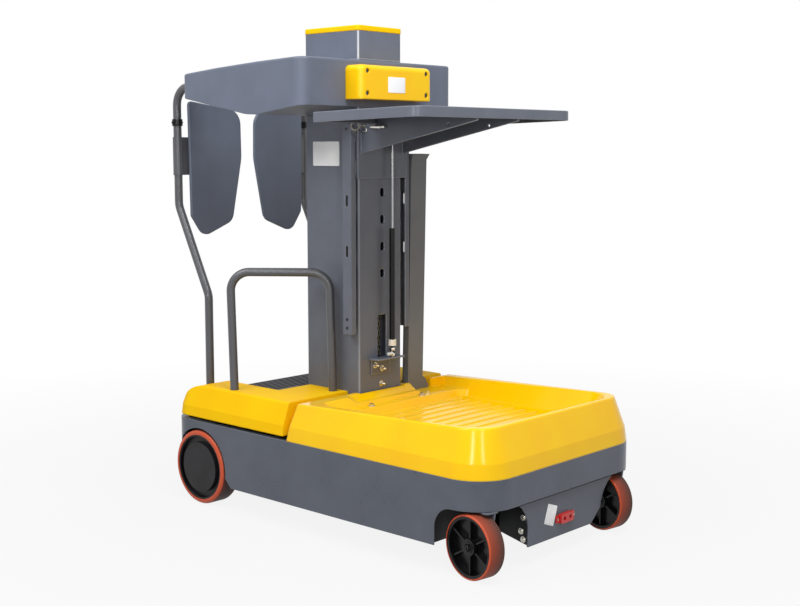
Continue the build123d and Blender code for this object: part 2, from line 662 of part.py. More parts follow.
def spring_collar():
    """White stop collar round the foot of the gas spring."""
    return ring(13, 9.6, (SPRING_X, SPRING_Y, SPRING_LOW - 3), 20)


def platform_pan():
    """Yellow moulding under the operator: wide shoulders round a sunk floor that is open to the rear."""
    pan = drafted_wall(PAN_LOW, RIM_Z) & block(-FAR, PAN_FRONT_X, -FAR, FAR, 0, FAR)
    well = Pos((WELL_FRONT_X - FAR) / 2, 0, WELL_FLOOR) * Rectangle(FAR + WELL_FRONT_X, 2 * WELL_HALF)
    pan -= extrude(well, amount=100, taper=-WELL_DRAFT)
    rim = pan.faces().filter_by(lambda f: f.normal_at().Z > 0.99).group_by(Axis.Z)[-1]
    outer = rim.edges().filter_by(lambda e: e.center().X < PAN_FRONT_X - 1)
    pan = fillet(outer, 11)
    tail = block(REAR_X, FAR, -FAR, FAR, 0, RIM_Z)
    tail_edge = tail.edges().filter_by(Axis.Y).group_by(Axis.X)[0].sort_by(Axis.Z)[-1]
    pan &= fillet(tail_edge, PAN_REAR_R)
    under = extrude(Pos(0, 0, PAN_LOW) * base_outline(TRAY_SKIN + 6),
                    amount=WELL_FLOOR - TRAY_SKIN - PAN_LOW, taper=LOW_DRAFT)
    pan -= under & block(PAN_HOLLOW_X, PAN_FRONT_X - TRAY_SKIN, -FAR, FAR, 0, FAR)
    for x, y in feet():
        pan -= rod(TUBE_R + SOCKET_GAP, (x, y, TUBE_FOOT_Z), 100)
    x1, y0, y1 = PEDAL[1:]
    for lug_y in (y0 - 7, y1 + 1):
        pan += block(x1 - 16, x1, lug_y, lug_y + LUG, WELL_FLOOR, PEDAL_TOP + 4)
    pan -= rod(PIVOT_R + RUN_GAP, (x1 - 8, y0 - 10, PEDAL_AXIS_Z), y1 - y0 + 20, "Y")
    return pan - block(COL_X0 - 0.5, FAR, -COL_HALF - 0.5, COL_HALF + 0.5, 0, FAR)


def feet():
    """Where the guard tubes and the hoops stand, on both sides."""
    right = [(TUBE_FOOT_X, -TUBE_Y), HOOP_REAR, HOOP_FRONT]
    return right + [(x, -y) for x, y in right]


def floor_mat():
    """Ribbed rubber mat on the platform floor, cut out for the pedal."""
    z0 = WELL_FLOOR
    mat = block(MAT_REAR_X, WELL_FRONT_X - 4, -WELL_HALF + 3, WELL_HALF - 3, z0, z0 + MAT_THICK)
    for i in range(MAT_RIBS):
        x = MAT_REAR_X + 8 + i * MAT_PITCH
        mat += block(x - 5, x + 5, -WELL_HALF + 8, WELL_HALF - 8, z0 + MAT_THICK, z0 + MAT_THICK + MAT_RIB)
    x0, x1, y0, y1 = PEDAL
    return mat - block(x0 - 8, x1 + 8, y0 - 8, y1 + 8, z0, z0 + 50)


def platform_frame():
    """Steel bearers under the pan, fixed to the back of the column."""
    top = WELL_FLOOR - TRAY_SKIN - 1
    frame = pair(block(-584, COL_X0, 40, 84, PAN_LOW + 3, top))
    for x0, x1 in ((-584, -544), (-340, -300)):
        frame += block(x0, x1, -330, 330, PAN_LOW + 3, top)
    return frame


def guard_tubes():
    """Tall tubes from the platform's rear corners, up past the hinges and forward into the console arms."""
    route = [(TUBE_FOOT_X, TUBE_FOOT_Z), (TUBE_FOOT_X, TUBE_LOW_BEND_Z), (TUBE_TOP_X, TUBE_HIGH_BEND_Z),
             (TUBE_TOP_X, TUBE_ENTRY_Z), (TUBE_ENTRY_X, TUBE_ENTRY_Z)]
    return pair(bent_tube([(x, -TUBE_Y, z) for x, z in route], TUBE_BEND))


def side_hoops():
    """Hoops that lean back a little and close the gaps between the platform's sides and the column."""
    legs = [[(x, y, TUBE_FOOT_Z), (x, y, HOOP_LEAN_Z), (x - HOOP_LEAN, y, HOOP_TOP)]
            for x, y in (HOOP_REAR, HOOP_FRONT)]
    return pair(bent_tube(legs[0] + legs[1][::-1], HOOP_BEND))


def tube_collars():
    """Clamp collars with their screws, above the door hinges."""
    collar = ring(COLLAR_R, TUBE_R + RUN_GAP, (TUBE_TOP_X, -TUBE_Y, COLLAR_LOW), COLLAR_TOP - COLLAR_LOW)
    middle = (COLLAR_LOW + COLLAR_TOP) / 2
    collar += rod(4, (TUBE_TOP_X, -TUBE_Y - COLLAR_R + 2, middle), 6, "-Y")
    collar += rod(4, (TUBE_TOP_X, -TUBE_Y + COLLAR_R - 2, middle), 6, "Y")
    return pair(collar)


def console_form(inset, low, high):
    """The console's wrap-round form: a U in plan, sloping in side view, drawn in by the given amounts."""
    length = CONSOLE_FRONT - CONSOLE_REAR - 2 * inset
    plan = Pos((CONSOLE_REAR + CONSOLE_FRONT) / 2, 0) * Rectangle(length, 2 * (CONSOLE_HALF - inset))
    bay_x = ARM_FRONT_X + inset
    inner = Pos((bay_x - FAR) / 2, 0) * Rectangle(FAR + bay_x, 2 * (ARM_INNER_Y + inset))
    plan -= fillet(inner.vertices().group_by(Axis.X)[-1], ARM_CORNER_R + inset)
    plan = fillet(plan.vertices().group_by(Axis.X)[-1], CONSOLE_CORNER_R - inset)
    plan = fillet(plan.vertices().group_by(Axis.X)[0], CONSOLE_REAR_R - inset)
    form = extrude(Pos(0, 0, 1200) * plan, amount=400)
    side = [(x, z - high) for x, z in CONSOLE_TOP_LINE] + [(x, z + low) for x, z in CONSOLE_LOW_LINE]
    profile = prism_y(side, -FAR, FAR) & block(CONSOLE_REAR + inset, FAR, -FAR, FAR, 0, 2 * FAR)
    rear_edges = profile.edges().filter_by(Axis.Y).group_by(Axis.X)[0].sort_by(Axis.Z)
    profile = fillet(rear_edges[0], CONSOLE_HEEL_R - inset)
    crown = profile.edges().filter_by(Axis.Y).group_by(Axis.X)[0].sort_by(Axis.Z)[-1]
    return form & chamfer(crown, CONSOLE_CROWN - inset / 2)


def column_gap():
    """Room for the column through the console."""
    return block(COL_X0 - 0.5, COL_X1 + 0.5, -COL_HALF - 0.5, COL_HALF + 0.5, 0, 2 * FAR)


def console_shell():
    """Wrap-round console housing, open below, with holes for the tubes and the controls."""
    shell = console_form(0, 0, 0)
    rims = shell.edges().filter_by(lambda e: e.center().Z > 1405 and abs(e.tangent_at(0.5).Z) < 0.75)
    shell = fillet(rims, CONSOLE_EDGE_R)
    shell -= console_form(CONSOLE_WALL, -40, CONSOLE_WALL)
    shell -= door_room(DOOR_ROOM_HALF)
    shell -= column_gap()
    for side in (-1, 1):
        shell -= rod(TUBE_R + SOCKET_GAP, (CONSOLE_REAR - 20, side * TUBE_Y, TUBE_ENTRY_Z), 60, "X")
    shell -= rod(8 + RUN_GAP, (ARM_FRONT_X - 10, STOP_Y, CONTROL_Z), 40, "X")
    shell += control_lugs(LEVER_Y, LEVER_HALF)
    return shell + control_lugs(ROCKER_Y, ROCKER_HALF)


def control_lugs(y, half):
    """Two lugs on the operator's side of the console, bored for the pivot of one control."""
    lugs = [block(PIVOT_X - 8, ARM_FRONT_X, at - LUG / 2, at + LUG / 2, CONTROL_Z - 8, CONTROL_Z + 8)
            for at in (y - half - 1 - LUG / 2, y + half + 1 + LUG / 2)]
    return group(lugs) - rod(PIVOT_R + RUN_GAP, (PIVOT_X, y - 50, CONTROL_Z), 100, "Y")


def door_room(rear_half):
    """Room under the console's arms for the doors when they swing in; rear_half is its reach at the rear."""
    half = CONSOLE_HALF - CONSOLE_WALL
    room = block(CONSOLE_REAR + CONSOLE_REAR_R, DOOR_ROOM_X, -half, half, 0, DOOR_ROOM_Z)
    return room + block(-FAR, DOOR_ROOM_X, -rear_half, rear_half, 0, DOOR_ROOM_Z)


def console_floor():
    """Bottom cover of the console, stepped up under the arms."""
    inset = CONSOLE_WALL + 0.5
    cover = console_form(inset, 0.5, 20) - console_form(0, 0.5 + COVER_T, -40) - door_room(CONSOLE_HALF)
    body = console_form(inset, 0.5, 20)
    cover += body & block(-FAR, DOOR_ROOM_X, -FAR, FAR, DOOR_ROOM_Z, DOOR_ROOM_Z + COVER_T)
    cover += body & block(DOOR_ROOM_X, DOOR_ROOM_X + COVER_T, -FAR, FAR, 0, DOOR_ROOM_Z + COVER_T)
    return cover - column_gap()


def front_box():
    """Yellow box on the console's front, with four sunk screw places."""
    box = block(CONSOLE_FRONT, BOX_X1, -BOX_HALF, BOX_HALF, BOX_LOW, BOX_TOP)
    box = fillet(box.faces().sort_by(Axis.X)[-1].edges().filter_by(Axis.Z), BOX_FRONT_R)
    top = box.faces().sort_by(Axis.Z)[-1].edges()
    box = fillet(top.filter_by(lambda e: e.center().X > CONSOLE_FRONT + 1), BOX_TOP_R)
    box -= block(CONSOLE_FRONT, BOX_X1 - 14, 12 - BOX_HALF, BOX_HALF - 12, BOX_LOW + 12, BOX_TOP - 12)
    for y in (-BOX_SCREW_Y, BOX_SCREW_Y):
        for z in BOX_SCREW_Z:
            box -= rod(8, (BOX_X1 - 6, y, z), 10, "X")
    return box


def estop_button():
    """Mushroom stop button on its stem, facing the operator."""
    stem = rod(8, (ARM_FRONT_X - 30, STOP_Y, CONTROL_Z), 50, "X")
    return stem + fillet(rod(20, (ARM_FRONT_X - 42, STOP_Y, CONTROL_Z), 14, "X").edges(), 4)


def control_pivot(y, half):
    """Barrel of a control with its pivot pin."""
    barrel = rod(7, (PIVOT_X, y - half, CONTROL_Z), 2 * half, "Y")
    return barrel + rod(PIVOT_R, (PIVOT_X, y - half - 1 - LUG, CONTROL_Z), 2 * (half + 1 + LUG), "Y")


def drive_lever():
    """Short drive lever with a ball grip, facing the operator."""
    stick = rod(5, (PIVOT_X - 70, LEVER_Y, CONTROL_Z), 70, "X")
    ball = Pos(PIVOT_X - 75, LEVER_Y, CONTROL_Z) * TURN["X"] * Sphere(17)
    return control_pivot(LEVER_Y, LEVER_HALF) + stick + ball


def lift_rocker():
    """Rocker that raises and lowers the platform."""
    y0, y1 = ROCKER_Y - ROCKER_HALF, ROCKER_Y + ROCKER_HALF
    cap = block(PIVOT_X - 14, PIVOT_X, y0, y1, CONTROL_Z - 22, CONTROL_Z + 22)
    return fillet(cap.edges().filter_by(Axis.Y), 4) + control_pivot(ROCKER_Y, ROCKER_HALF)


def foot_pedal():
    """Enabling pedal on the platform floor."""
    x0, x1, y0, y1 = PEDAL
    pad = fillet(block(x0, x1, y0, y1, PEDAL_LOW, PEDAL_TOP).edges().filter_by(Axis.Z), 10)
    return pad + rod(PIVOT_R, (x1 - 8, y0 - 6, PEDAL_AXIS_Z), y1 - y0 + 12, "Y")


# Load table

def table_place():
    """Moves the table from its own level onto its slightly raised slope."""
    return Pos(0, 0, TABLE_LEVEL) * Rot(0, -TABLE_TILT_DEG, 0)


def table_top():
    """Load table: a sheet with folded-down edges and round front corners."""
    plan = outline(TABLE_X0, TABLE_X1, TABLE_HALF, TABLE_CORNER_R, 2 * TABLE_SKIN)
    hollow = outline(TABLE_X0, TABLE_X1, TABLE_HALF, TABLE_CORNER_R, 2 * TABLE_SKIN, TABLE_SKIN)
    top = extrude(plan, amount=TABLE_THICK)
    top = fillet(top.faces().sort_by(Axis.Z)[-1].edges(), 2.5)
    return table_place() * (top - extrude(hollow, amount=TABLE_THICK - TABLE_SKIN))


def table_carriage():
    """Slider plate with its cheeks, two gussets under the table, the lock bush and the spring's eye."""
    plate = block(CARRIAGE_X0, CARRIAGE_X1, -CARRIAGE_HALF, CARRIAGE_HALF, CARRIAGE_LOW, CARRIAGE_TOP)
    plate += pair(block(RAIL_X0 + 8, CARRIAGE_X0, *SIDE_PLATE_Y, CARRIAGE_LOW + 6, RAIL_TOP - 4))
    rise = TABLE_THICK - TABLE_SKIN
    slope = tan(radians(TABLE_TILT_DEG))
    behind_x = TABLE_X0 + TABLE_SKIN + 2
    sheet_z = [TABLE_LEVEL + rise + slope * x for x in (behind_x, GUSSET_TIP_X)]
    gusset = [(CARRIAGE_X1, GUSSET_LOW), (CARRIAGE_X1, CARRIAGE_TOP), (behind_x, CARRIAGE_TOP),
              (behind_x, sheet_z[0]), (GUSSET_TIP_X, sheet_z[1]), (GUSSET_TIP_X, GUSSET_TIP_Z)]
    plate += pair(prism_y(gusset, *GUSSET_Y))
    plate += rod(14, (CARRIAGE_X1, LOCK_Y, LOCK_Z), 26, "X")
    plate += block(CARRIAGE_X1, SPRING_X + 9, SPRING_Y - 9, SPRING_Y + 9, ROD_TOP, ROD_TOP + 14)
    hole_x, hole_z = GUSSET_HOLE
    plate -= rod(GUSSET_HOLE_R, (hole_x, -FAR, hole_z), 2 * FAR, "Y")
    return plate - rod(7, (CARRIAGE_X0 - 5, LOCK_Y, LOCK_Z), 60, "X")


def carriage_pads():
    """Slide blocks in the side rails."""
    y0 = SIDE_PLATE_Y[1]
    y1 = RAIL_Y - RAIL_WALL - SLIDE_GAP
    x0 = RAIL_X0 + RAIL_WALL + SLIDE_GAP
    x1 = RAIL_X1 - RAIL_WALL - SLIDE_GAP
    blocks = [pair(block(x0, x1, y0, y1, z, z + 44)) for z in (CARRIAGE_LOW + 10, RAIL_TOP - 52)]
    return group(blocks)


def gas_spring_rod():
    """Gas spring rod with its piston."""
    stem = rod(4, (SPRING_X, SPRING_Y, 832), ROD_TOP - 832)
    return stem + rod(7.5 - RUN_GAP, (SPRING_X, SPRING_Y, 832), 14)


def lock_plunger():
    """Push-pull pin with a knob that locks the table to the column, drawn out of the hole."""
    pin = rod(7 - RUN_GAP, (COL_X1 + 1, LOCK_Y, LOCK_Z), 50, "X")
    knob = rod(11, (CARRIAGE_X1 + 36, LOCK_Y, LOCK_Z), 12, "X")
    return pin + fillet(knob.edges(), 3)


# Doors

def door_panel(side):
    """Thin swing door with a tapered, rounded outline."""
    plan = make_face(Polyline(*[(y, z) for y, z, r in DOOR_CORNERS], close=True))
    for y, z, r in DOOR_CORNERS:
        corner = plan.vertices().sort_by_distance((y, z, 0))[0]
        plan = fillet(corner, r)
    rear = Plane(origin=(DOOR_X - DOOR_T / 2, 0, 0), x_dir=(0, 1, 0), z_dir=(1, 0, 0))
    panel = extrude(rear * plan, amount=DOOR_T)
    panel = chamfer(panel.faces().filter_by(Axis.X).edges(), 2.5)
    return panel if side < 0 else mirrored(panel)


def door_hinge(side):
    """Sleeve that turns on the guard tube, with the plate that carries the door."""
    sleeve = ring(SLEEVE_R, TUBE_R + RUN_GAP, (TUBE_TOP_X, -TUBE_Y, HINGE_LOW), HINGE_TOP - HINGE_LOW)
    face = DOOR_X - DOOR_T / 2
    plate = block(face - 6, face, -TUBE_Y + 6, -218, HINGE_LOW, HINGE_TOP)
    hinge = sleeve + (plate - rod(TUBE_R + 1, (TUBE_TOP_X, -TUBE_Y, HINGE_LOW), 200))
    return hinge if side < 0 else mirrored(hinge)


# Wheels

def drive_hub(side):
    """Drive wheel disc with stepped face and its shaft."""
    face = DRIVE_FACE_Y
    hub = rod(DRIVE_RIM_R, (DRIVE_X, face - DRIVE_W + 4, DRIVE_R), DRIVE_W - 6, "Y")
    hub -= ring(DRIVE_RIM_R - 5, DRIVE_DISC_R, (DRIVE_X, face - 14, DRIVE_R), 20, "Y")
    hub += rod(DRIVE_DISC_R, (DRIVE_X, face - 14, DRIVE_R), 14, "Y")
    hub += rod(DRIVE_SHAFT_R, (DRIVE_X, 236, DRIVE_R), face - 236 - 20, "Y")
    return mirrored(hub) if side < 0 else hub


def drive_tyre(side):
    """Polyurethane tyre of a drive wheel."""
    tyre = ring(DRIVE_R, DRIVE_RIM_R, (DRIVE_X, DRIVE_FACE_Y - DRIVE_W, DRIVE_R), DRIVE_W, "Y")
    tyre = fillet(tyre.edges().filter_by(GeomType.CIRCLE).group_by(SortBy.RADIUS)[-1], 11)
    return mirrored(tyre) if side < 0 else tyre


def caster_place(side):
    """Moves a caster from its own swivel axis to its corner, turned as it stands at rest."""
    return Pos(SWIVEL_X, side * SWIVEL_Y, 0) * Rot(0, 0, SWIVEL_DEG)


def caster_yoke(side):
    """One-armed yoke with its king pin and stub axle; both casters carry the wheel right of the arm."""
    arm_y = CASTER_W / 2 + YOKE_T - CASTER_OFFSET
    crown = block(-46, 30, -CASTER_OFFSET, 16, CROWN_LOW, CROWN_TOP)
    crown = fillet(crown.edges().filter_by(Axis.Z), 14)
    arm = [(-40, CROWN_LOW), (28, CROWN_LOW), (6, 70), (-36, 70)]
    axle_length = CASTER_W + YOKE_T - 3
    yoke = crown + prism_y(arm, arm_y - YOKE_T / 2, arm_y + YOKE_T / 2)
    yoke += rod(CASTER_AXLE_R, (-TRAIL, arm_y, CASTER_R), axle_length, "-Y")
    yoke += rod(KING_PIN_R, (0, 0, CROWN_LOW), CASTER_PLATE[1] + 10 - CROWN_LOW)
    yoke += Pos(0, 0, CASTER_PLATE[1] + 0.4) * extrude(RegularPolygon(10.5, 6), amount=8)
    yoke += rod(11, (0, 0, CROWN_TOP), CASTER_PLATE[0] - CROWN_TOP - 0.4)
    return caster_place(side) * yoke


def caster_hub(side):
    """Ribbed caster wheel centre."""
    width = CASTER_W - 4
    y0 = -width / 2
    hub = ring(CASTER_RIM_R, CASTER_DISH_R, (0, y0, 0), width, "Y") + rod(24, (0, y0, 0), width, "Y")
    hub += rod(CASTER_DISH_R + 2, (0, -5, 0), 10, "Y")
    spoke = block(20, CASTER_DISH_R + 2, y0 + 6, -y0 - 6, -CASTER_SPOKE_W / 2, CASTER_SPOKE_W / 2)
    for i in range(CASTER_SPOKES):
        hub += Rot(0, i * 360 / CASTER_SPOKES - 90, 0) * spoke
    hub -= rod(CASTER_AXLE_R + RUN_GAP, (0, -FAR, 0), 2 * FAR, "Y")
    return caster_place(side) * Pos(-TRAIL, -CASTER_OFFSET, CASTER_R) * hub


def caster_tyre(side):
    """Polyurethane tyre of a caster wheel."""
    tyre = ring(CASTER_R, CASTER_RIM_R, (0, -CASTER_W / 2, 0), CASTER_W, "Y")
    tyre = fillet(tyre.edges().filter_by(GeomType.CIRCLE).group_by(SortBy.RADIUS)[-1], 5)
    return caster_place(side) * Pos(-TRAIL, -CASTER_OFFSET, CASTER_R) * tyre


def build_all():
    """Every node by name."""
    single = [base_skirt, chassis_frame, front_plate, charging_socket, chassis_bolts, load_tray, fixed_mast,
              fixed_mast_pads, lift_cylinder, fixed_chain_run, battery_pack, power_unit, drive_motors,
              cable_chute, middle_mast, middle_mast_pads, lift_rod, chain_pulley, mast_column, column_pads,
              mast_cap, cap_lid, side_rails, lift_chain_run, platform_screws, spring_bracket,
              gas_spring_cylinder, spring_collar, platform_pan, floor_mat, platform_frame, guard_tubes,
              side_hoops, tube_collars, console_shell, console_floor, front_box, estop_button, drive_lever,
              lift_rocker, foot_pedal, table_top, table_carriage, carriage_pads, gas_spring_rod, lock_plunger]
    sided = [door_panel, door_hinge, drive_hub, drive_tyre, caster_yoke, caster_hub, caster_tyre]
    nodes = {make.__name__: make() for make in single}
    for make in sided:
        nodes["right_" + make.__name__] = make(-1)
        nodes["left_" + make.__name__] = make(1)
    return nodes


os.makedirs("parts", exist_ok=True)
for name, shape in build_all().items():
    export_step(shape, f"parts/{name}.step")
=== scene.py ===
import json
import math

import bpy
import numpy as np
from bpy.props import FloatProperty, FloatVectorProperty, IntProperty, PointerProperty
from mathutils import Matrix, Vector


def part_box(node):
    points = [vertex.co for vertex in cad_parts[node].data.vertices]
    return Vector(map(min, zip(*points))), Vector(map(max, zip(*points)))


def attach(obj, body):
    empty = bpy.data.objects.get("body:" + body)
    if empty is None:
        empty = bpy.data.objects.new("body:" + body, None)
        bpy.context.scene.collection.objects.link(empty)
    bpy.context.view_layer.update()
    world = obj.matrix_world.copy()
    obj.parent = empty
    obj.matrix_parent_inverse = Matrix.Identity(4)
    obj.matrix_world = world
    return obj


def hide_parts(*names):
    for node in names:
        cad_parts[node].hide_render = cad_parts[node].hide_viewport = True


bl_info = {
    "name": "Order Picker Looks",
    "version": (1, 0, 0),
    "blender": (4, 5, 0),
    "location": "View3D > Sidebar > Picker",
    "description": "Finishes, small fittings and studio for a compact order picker",
    "category": "Object",
}

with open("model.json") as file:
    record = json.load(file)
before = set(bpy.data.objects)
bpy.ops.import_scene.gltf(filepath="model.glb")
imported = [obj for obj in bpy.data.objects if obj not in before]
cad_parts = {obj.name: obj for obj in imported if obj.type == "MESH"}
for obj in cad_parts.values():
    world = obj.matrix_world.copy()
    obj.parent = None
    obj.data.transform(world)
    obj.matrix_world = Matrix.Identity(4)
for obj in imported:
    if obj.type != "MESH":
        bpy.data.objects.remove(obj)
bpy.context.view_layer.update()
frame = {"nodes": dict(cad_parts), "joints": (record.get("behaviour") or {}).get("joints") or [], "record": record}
MM = 0.001


def linear(code):
    """Linear RGBA of an sRGB hex colour, by the sRGB transfer curve."""
    parts = np.array([int(code[i:i + 2], 16) for i in (1, 3, 5)]) / 255
    straight = np.where(parts <= 0.04045, parts / 12.92, ((parts + 0.055) / 1.055) ** 2.4)
    return (*straight.tolist(), 1.0)


def colour(name, code):
    """A colour property whose default is an sRGB hex value."""
    return FloatVectorProperty(name=name, description=f"{name} before light and wear", subtype="COLOR", size=4,
                               min=0.0, max=1.0, default=linear(code))


def length(name, description, millimetres):
    """A length property whose default is given in millimetres."""
    return FloatProperty(name=name, description=description, subtype="DISTANCE", unit="LENGTH",
                         default=millimetres * MM)


class PickerColours(bpy.types.PropertyGroup):
    """Colours of the finishes."""
    charcoal: colour("Charcoal powder coat", "#595E69")
    charcoal_shade: colour("Charcoal shade", "#535863")
    mast_grey: colour("Mast powder coat", "#656A76")
    mast_shade: colour("Mast shade", "#5F6470")
    tube_grey: colour("Tube powder coat", "#4A4B50")
    console_grey: colour("Grey moulding", "#636A7A")
    yellow: colour("Yellow moulding", "#FCCA00")
    yellow_shade: colour("Yellow shade", "#FBC200")
    tyre_side: colour("Tyre flank", "#C9522F")
    # The caster tread's tone beside the yoke is painted shade; the drive tread's tones are floor dirt with the skirt's
    # painted shade.
    tyre_tread: colour("Caster tread on its free side", "#98412A")
    caster_yoke_shade: colour("Caster tread beside the yoke", "#4E332C")
    drive_stain_and_shade: colour("Drive tread", "#5C3026")
    drive_grime_and_shade: colour("Drive tread in the middle", "#2A1C18")
    black: colour("Black moulding", "#0F0F11")
    # Edge and bend tones are painted highlights on turned edges and bends.
    edge_highlight: colour("Thin paint on edges", "#8B919D")
    mast_highlight: colour("Thin paint on the mast's edges", "#ADB3BF")
    cap_highlight: colour("Light bend of the cap", "#C2C7CE")
    # The frame's black paint is painted shade for the inside of the chassis.
    black_paint: colour("Black paint", "#1D1F20")
    hub_grey: colour("Drive disc", "#26262A")
    rubber: colour("Ribbed rubber", "#5C5C60")
    # The mat's crest tone is a painted highlight, and its groove tone is painted shade.
    rib_crest_highlight: colour("Mat rib crest", "#85858A")
    rib_groove_shade: colour("Mat rib groove", "#1C1C1E")
    duct_grey: colour("Duct paint", "#6C6F74")
    screw_black: colour("Blackened screw", "#1A1A1C")
    red: colour("Red moulding", "#C2231F")
    nylon: colour("White nylon", "#EDEBE4")
    zinc: colour("Zinc plate", "#D4D2CB")
    chain: colour("Oiled chain", "#8A867E")
    rod: colour("Hard chrome", "#A6A6A8")
    plate: colour("Blank plate", "#FAFAFB")
    floor: colour("Studio floor", "#ACACAC")


class PickerSizes(bpy.types.PropertyGroup):
    """Sizes of the pieces that are added to the frame."""
    chain_pitch: length("Chain pitch", "Distance between chain pins", 15.875)
    link_thickness: length("Link thickness", "Thickness of one chain plate", 2.4)
    plate_thickness: length("Plate thickness", "Thickness of the blank plates", 1.2)
    ring_radius: length("Pull ring radius", "Middle radius of the pull ring", 13.2)
    stud_length: length("Stud length", "How far the front studs stand out of their nuts", 11.0)
    links_across: IntProperty(name="Links across", description="Plates side by side in the chain", default=6, min=2)


# Mesh helpers

def circle(radius, count=40):
    """Closed outline: points at equal angles on a circle."""
    turn = np.linspace(0, 2 * np.pi, count, endpoint=False)
    return radius * np.stack([np.cos(turn), np.sin(turn)], axis=1)


def hexagon(across):
    """Closed outline: six corners of a nut with the given width across its flats."""
    return circle(across / math.sqrt(3), 6)


def rounded_rectangle(width, height, radius, per_corner=8):
    """Closed outline: four quarter circles joined by straight sides."""
    quarter = np.linspace(0, np.pi / 2, per_corner)
    starts = np.arange(4)[:, None] * np.pi / 2
    turn = starts + quarter[None, :]
    centres = np.array([[1, 1], [-1, 1], [-1, -1], [1, -1]]) * [width / 2 - radius, height / 2 - radius]
    arcs = centres[:, None, :] + radius * np.stack([np.cos(turn), np.sin(turn)], axis=2)
    return arcs.reshape(-1, 2)


def carried(outline, profile):
    """Closed solid: each profile pair (scale, height) is the outline shrunk by scale and lifted by height."""
    profile = np.asarray(profile, float)
    rings = outline[None, :, :] * profile[:, 0, None, None]
    lift = np.broadcast_to(profile[:, 1, None, None], (*rings.shape[:2], 1))
    points = np.concatenate([rings, lift], axis=2)
    return points.reshape(-1, 3), band_faces(len(profile), len(outline), caps=True)


def band_faces(rows, columns, caps=False, closed_rows=False):
    """Quads of a grid whose columns close on themselves, with end caps or closed rows on request."""
    row = np.arange(rows if closed_rows else rows - 1)[:, None]
    column = np.arange(columns)[None, :]
    nxt = (column + 1) % columns
    up = (row + 1) % rows
    quads = np.stack(np.broadcast_arrays(row * columns + column, row * columns + nxt,
                                         up * columns + nxt, up * columns + column), axis=2)
    faces = quads.reshape(-1, 4).tolist()
    if caps:
        faces.append(list(range(columns - 1, -1, -1)))
        faces.append(list(range((rows - 1) * columns, rows * columns)))
    return faces


def torus(radius, wire, around=36, across=12):
    """Ring: a small circle of the wire's radius carried round a large circle."""
    big = np.linspace(0, 2 * np.pi, around, endpoint=False)[:, None]
    small = np.linspace(0, 2 * np.pi, across, endpoint=False)[None, :]
    reach = radius + wire * np.cos(small)
    points = np.stack([reach * np.cos(big), reach * np.sin(big),
                       np.broadcast_to(-wire * np.sin(small), (around, across))], axis=2)
    return points.reshape(-1, 3), band_faces(around, across, closed_rows=True)


def bent_wire(path, radius, across=10):
    """Bent rod: a circle of the wire's radius carried along a path in the XZ plane, square to the path's direction."""
    ahead = np.gradient(path, axis=0)
    ahead /= np.linalg.norm(ahead, axis=1, keepdims=True)
    normal = np.array([0.0, 1.0, 0.0])
    side = np.cross(normal, ahead)
    turn = np.linspace(0, 2 * np.pi, across, endpoint=False)[None, :, None]
    rings = path[:, None, :] + radius * (np.cos(turn) * side[:, None, :] + np.sin(turn) * normal)
    return rings.reshape(-1, 3), band_faces(len(path), across, caps=True)


def spun(solid, degrees):
    """Turns a solid about its own height axis."""
    points, faces = solid
    turn = math.radians(degrees)
    matrix = np.array([[math.cos(turn), math.sin(turn), 0], [-math.sin(turn), math.cos(turn), 0], [0, 0, 1]])
    return points @ matrix, faces


def placed(solid, at, along):
    """Turns a solid so that its height runs along a unit direction, and moves it to a point."""
    points, faces = solid
    along = np.asarray(along, float)
    side = np.cross((0, 0, 1), along) if abs(along[2]) < 0.9 else np.array([1.0, 0, 0])
    side = side / np.linalg.norm(side)
    other = np.cross(along, side)
    return points @ np.stack([side, other, along]) + np.asarray(at), faces


def copies(solid, offsets):
    """The same solid at every offset, as one set of points and faces."""
    points, faces = solid
    offsets = np.asarray(offsets, float)
    everywhere = points[None, :, :] + offsets[:, None, :]
    shifted = [[index + number * len(points) for index in face] for number in range(len(offsets)) for face in faces]
    return everywhere.reshape(-1, 3), shifted


def joined(solids):
    """Several solids as one set of points and faces."""
    starts = np.cumsum([0] + [len(points) for points, faces in solids])
    faces = [[index + start for index in face] for start, (points, part) in zip(starts, solids) for face in part]
    return np.concatenate([points for points, part in solids]), faces


SHARP_ANGLE = math.radians(30)


def add_piece(name, solid, material, body):
    """Makes a mesh object of points and faces that rides on a body and takes a slot's finish."""
    points, faces = solid
    mesh = bpy.data.meshes.new(name)
    mesh.from_pydata(points.tolist(), [], faces)
    mesh.validate()
    mesh.update()
    mesh.materials.append(material)
    mesh.shade_smooth()
    mesh.set_sharp_from_angle(angle=SHARP_ANGLE)
    piece = bpy.data.objects.new(name, mesh)
    bpy.context.scene.collection.objects.link(piece)
    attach(piece, body)
    return piece


# Materials

# Places of the sockets on a Mix node that is set to colour
MIX_SHARE, MIX_FIRST, MIX_SECOND, MIX_RESULT = 0, 6, 7, 2


def add_node(tree, kind, sockets=None, **settings):
    """Adds one node; settings are its own values, sockets are constants or outputs to link."""
    item = tree.nodes.new(kind)
    for name, value in settings.items():
        setattr(item, name, value)
    for name, value in (sockets or {}).items():
        if isinstance(value, bpy.types.NodeSocket):
            tree.links.new(value, item.inputs[name])
        else:
            item.inputs[name].default_value = value
    return item


def new_tree(name):
    """An empty material and the tree of its nodes."""
    material = bpy.data.materials.new(name)
    material.use_nodes = True
    material.node_tree.nodes.clear()
    return material, material.node_tree


def drift(tone, share=0.06):
    """Two tones of one batch of colour: a share darker and a share paler than it."""
    return [tuple(np.clip(np.array(tone) * (scale, scale, scale, 1.0), 0.0, 1.0)) for scale in (1 - share, 1 + share)]


# Spans of the noise over which a surface goes from one roughness to the other, and from one tone to the other
GLOSS_SPAN = (0.3, 0.7)
TONE_SPAN = (0.35, 0.65)
GRAIN_STRENGTH = 0.6
# Cosine of how far an edge has turned where its painted highlight begins, and where it is full
HIGHLIGHT_SPAN = (0.97, 0.80)
EDGE_SAMPLES = 6


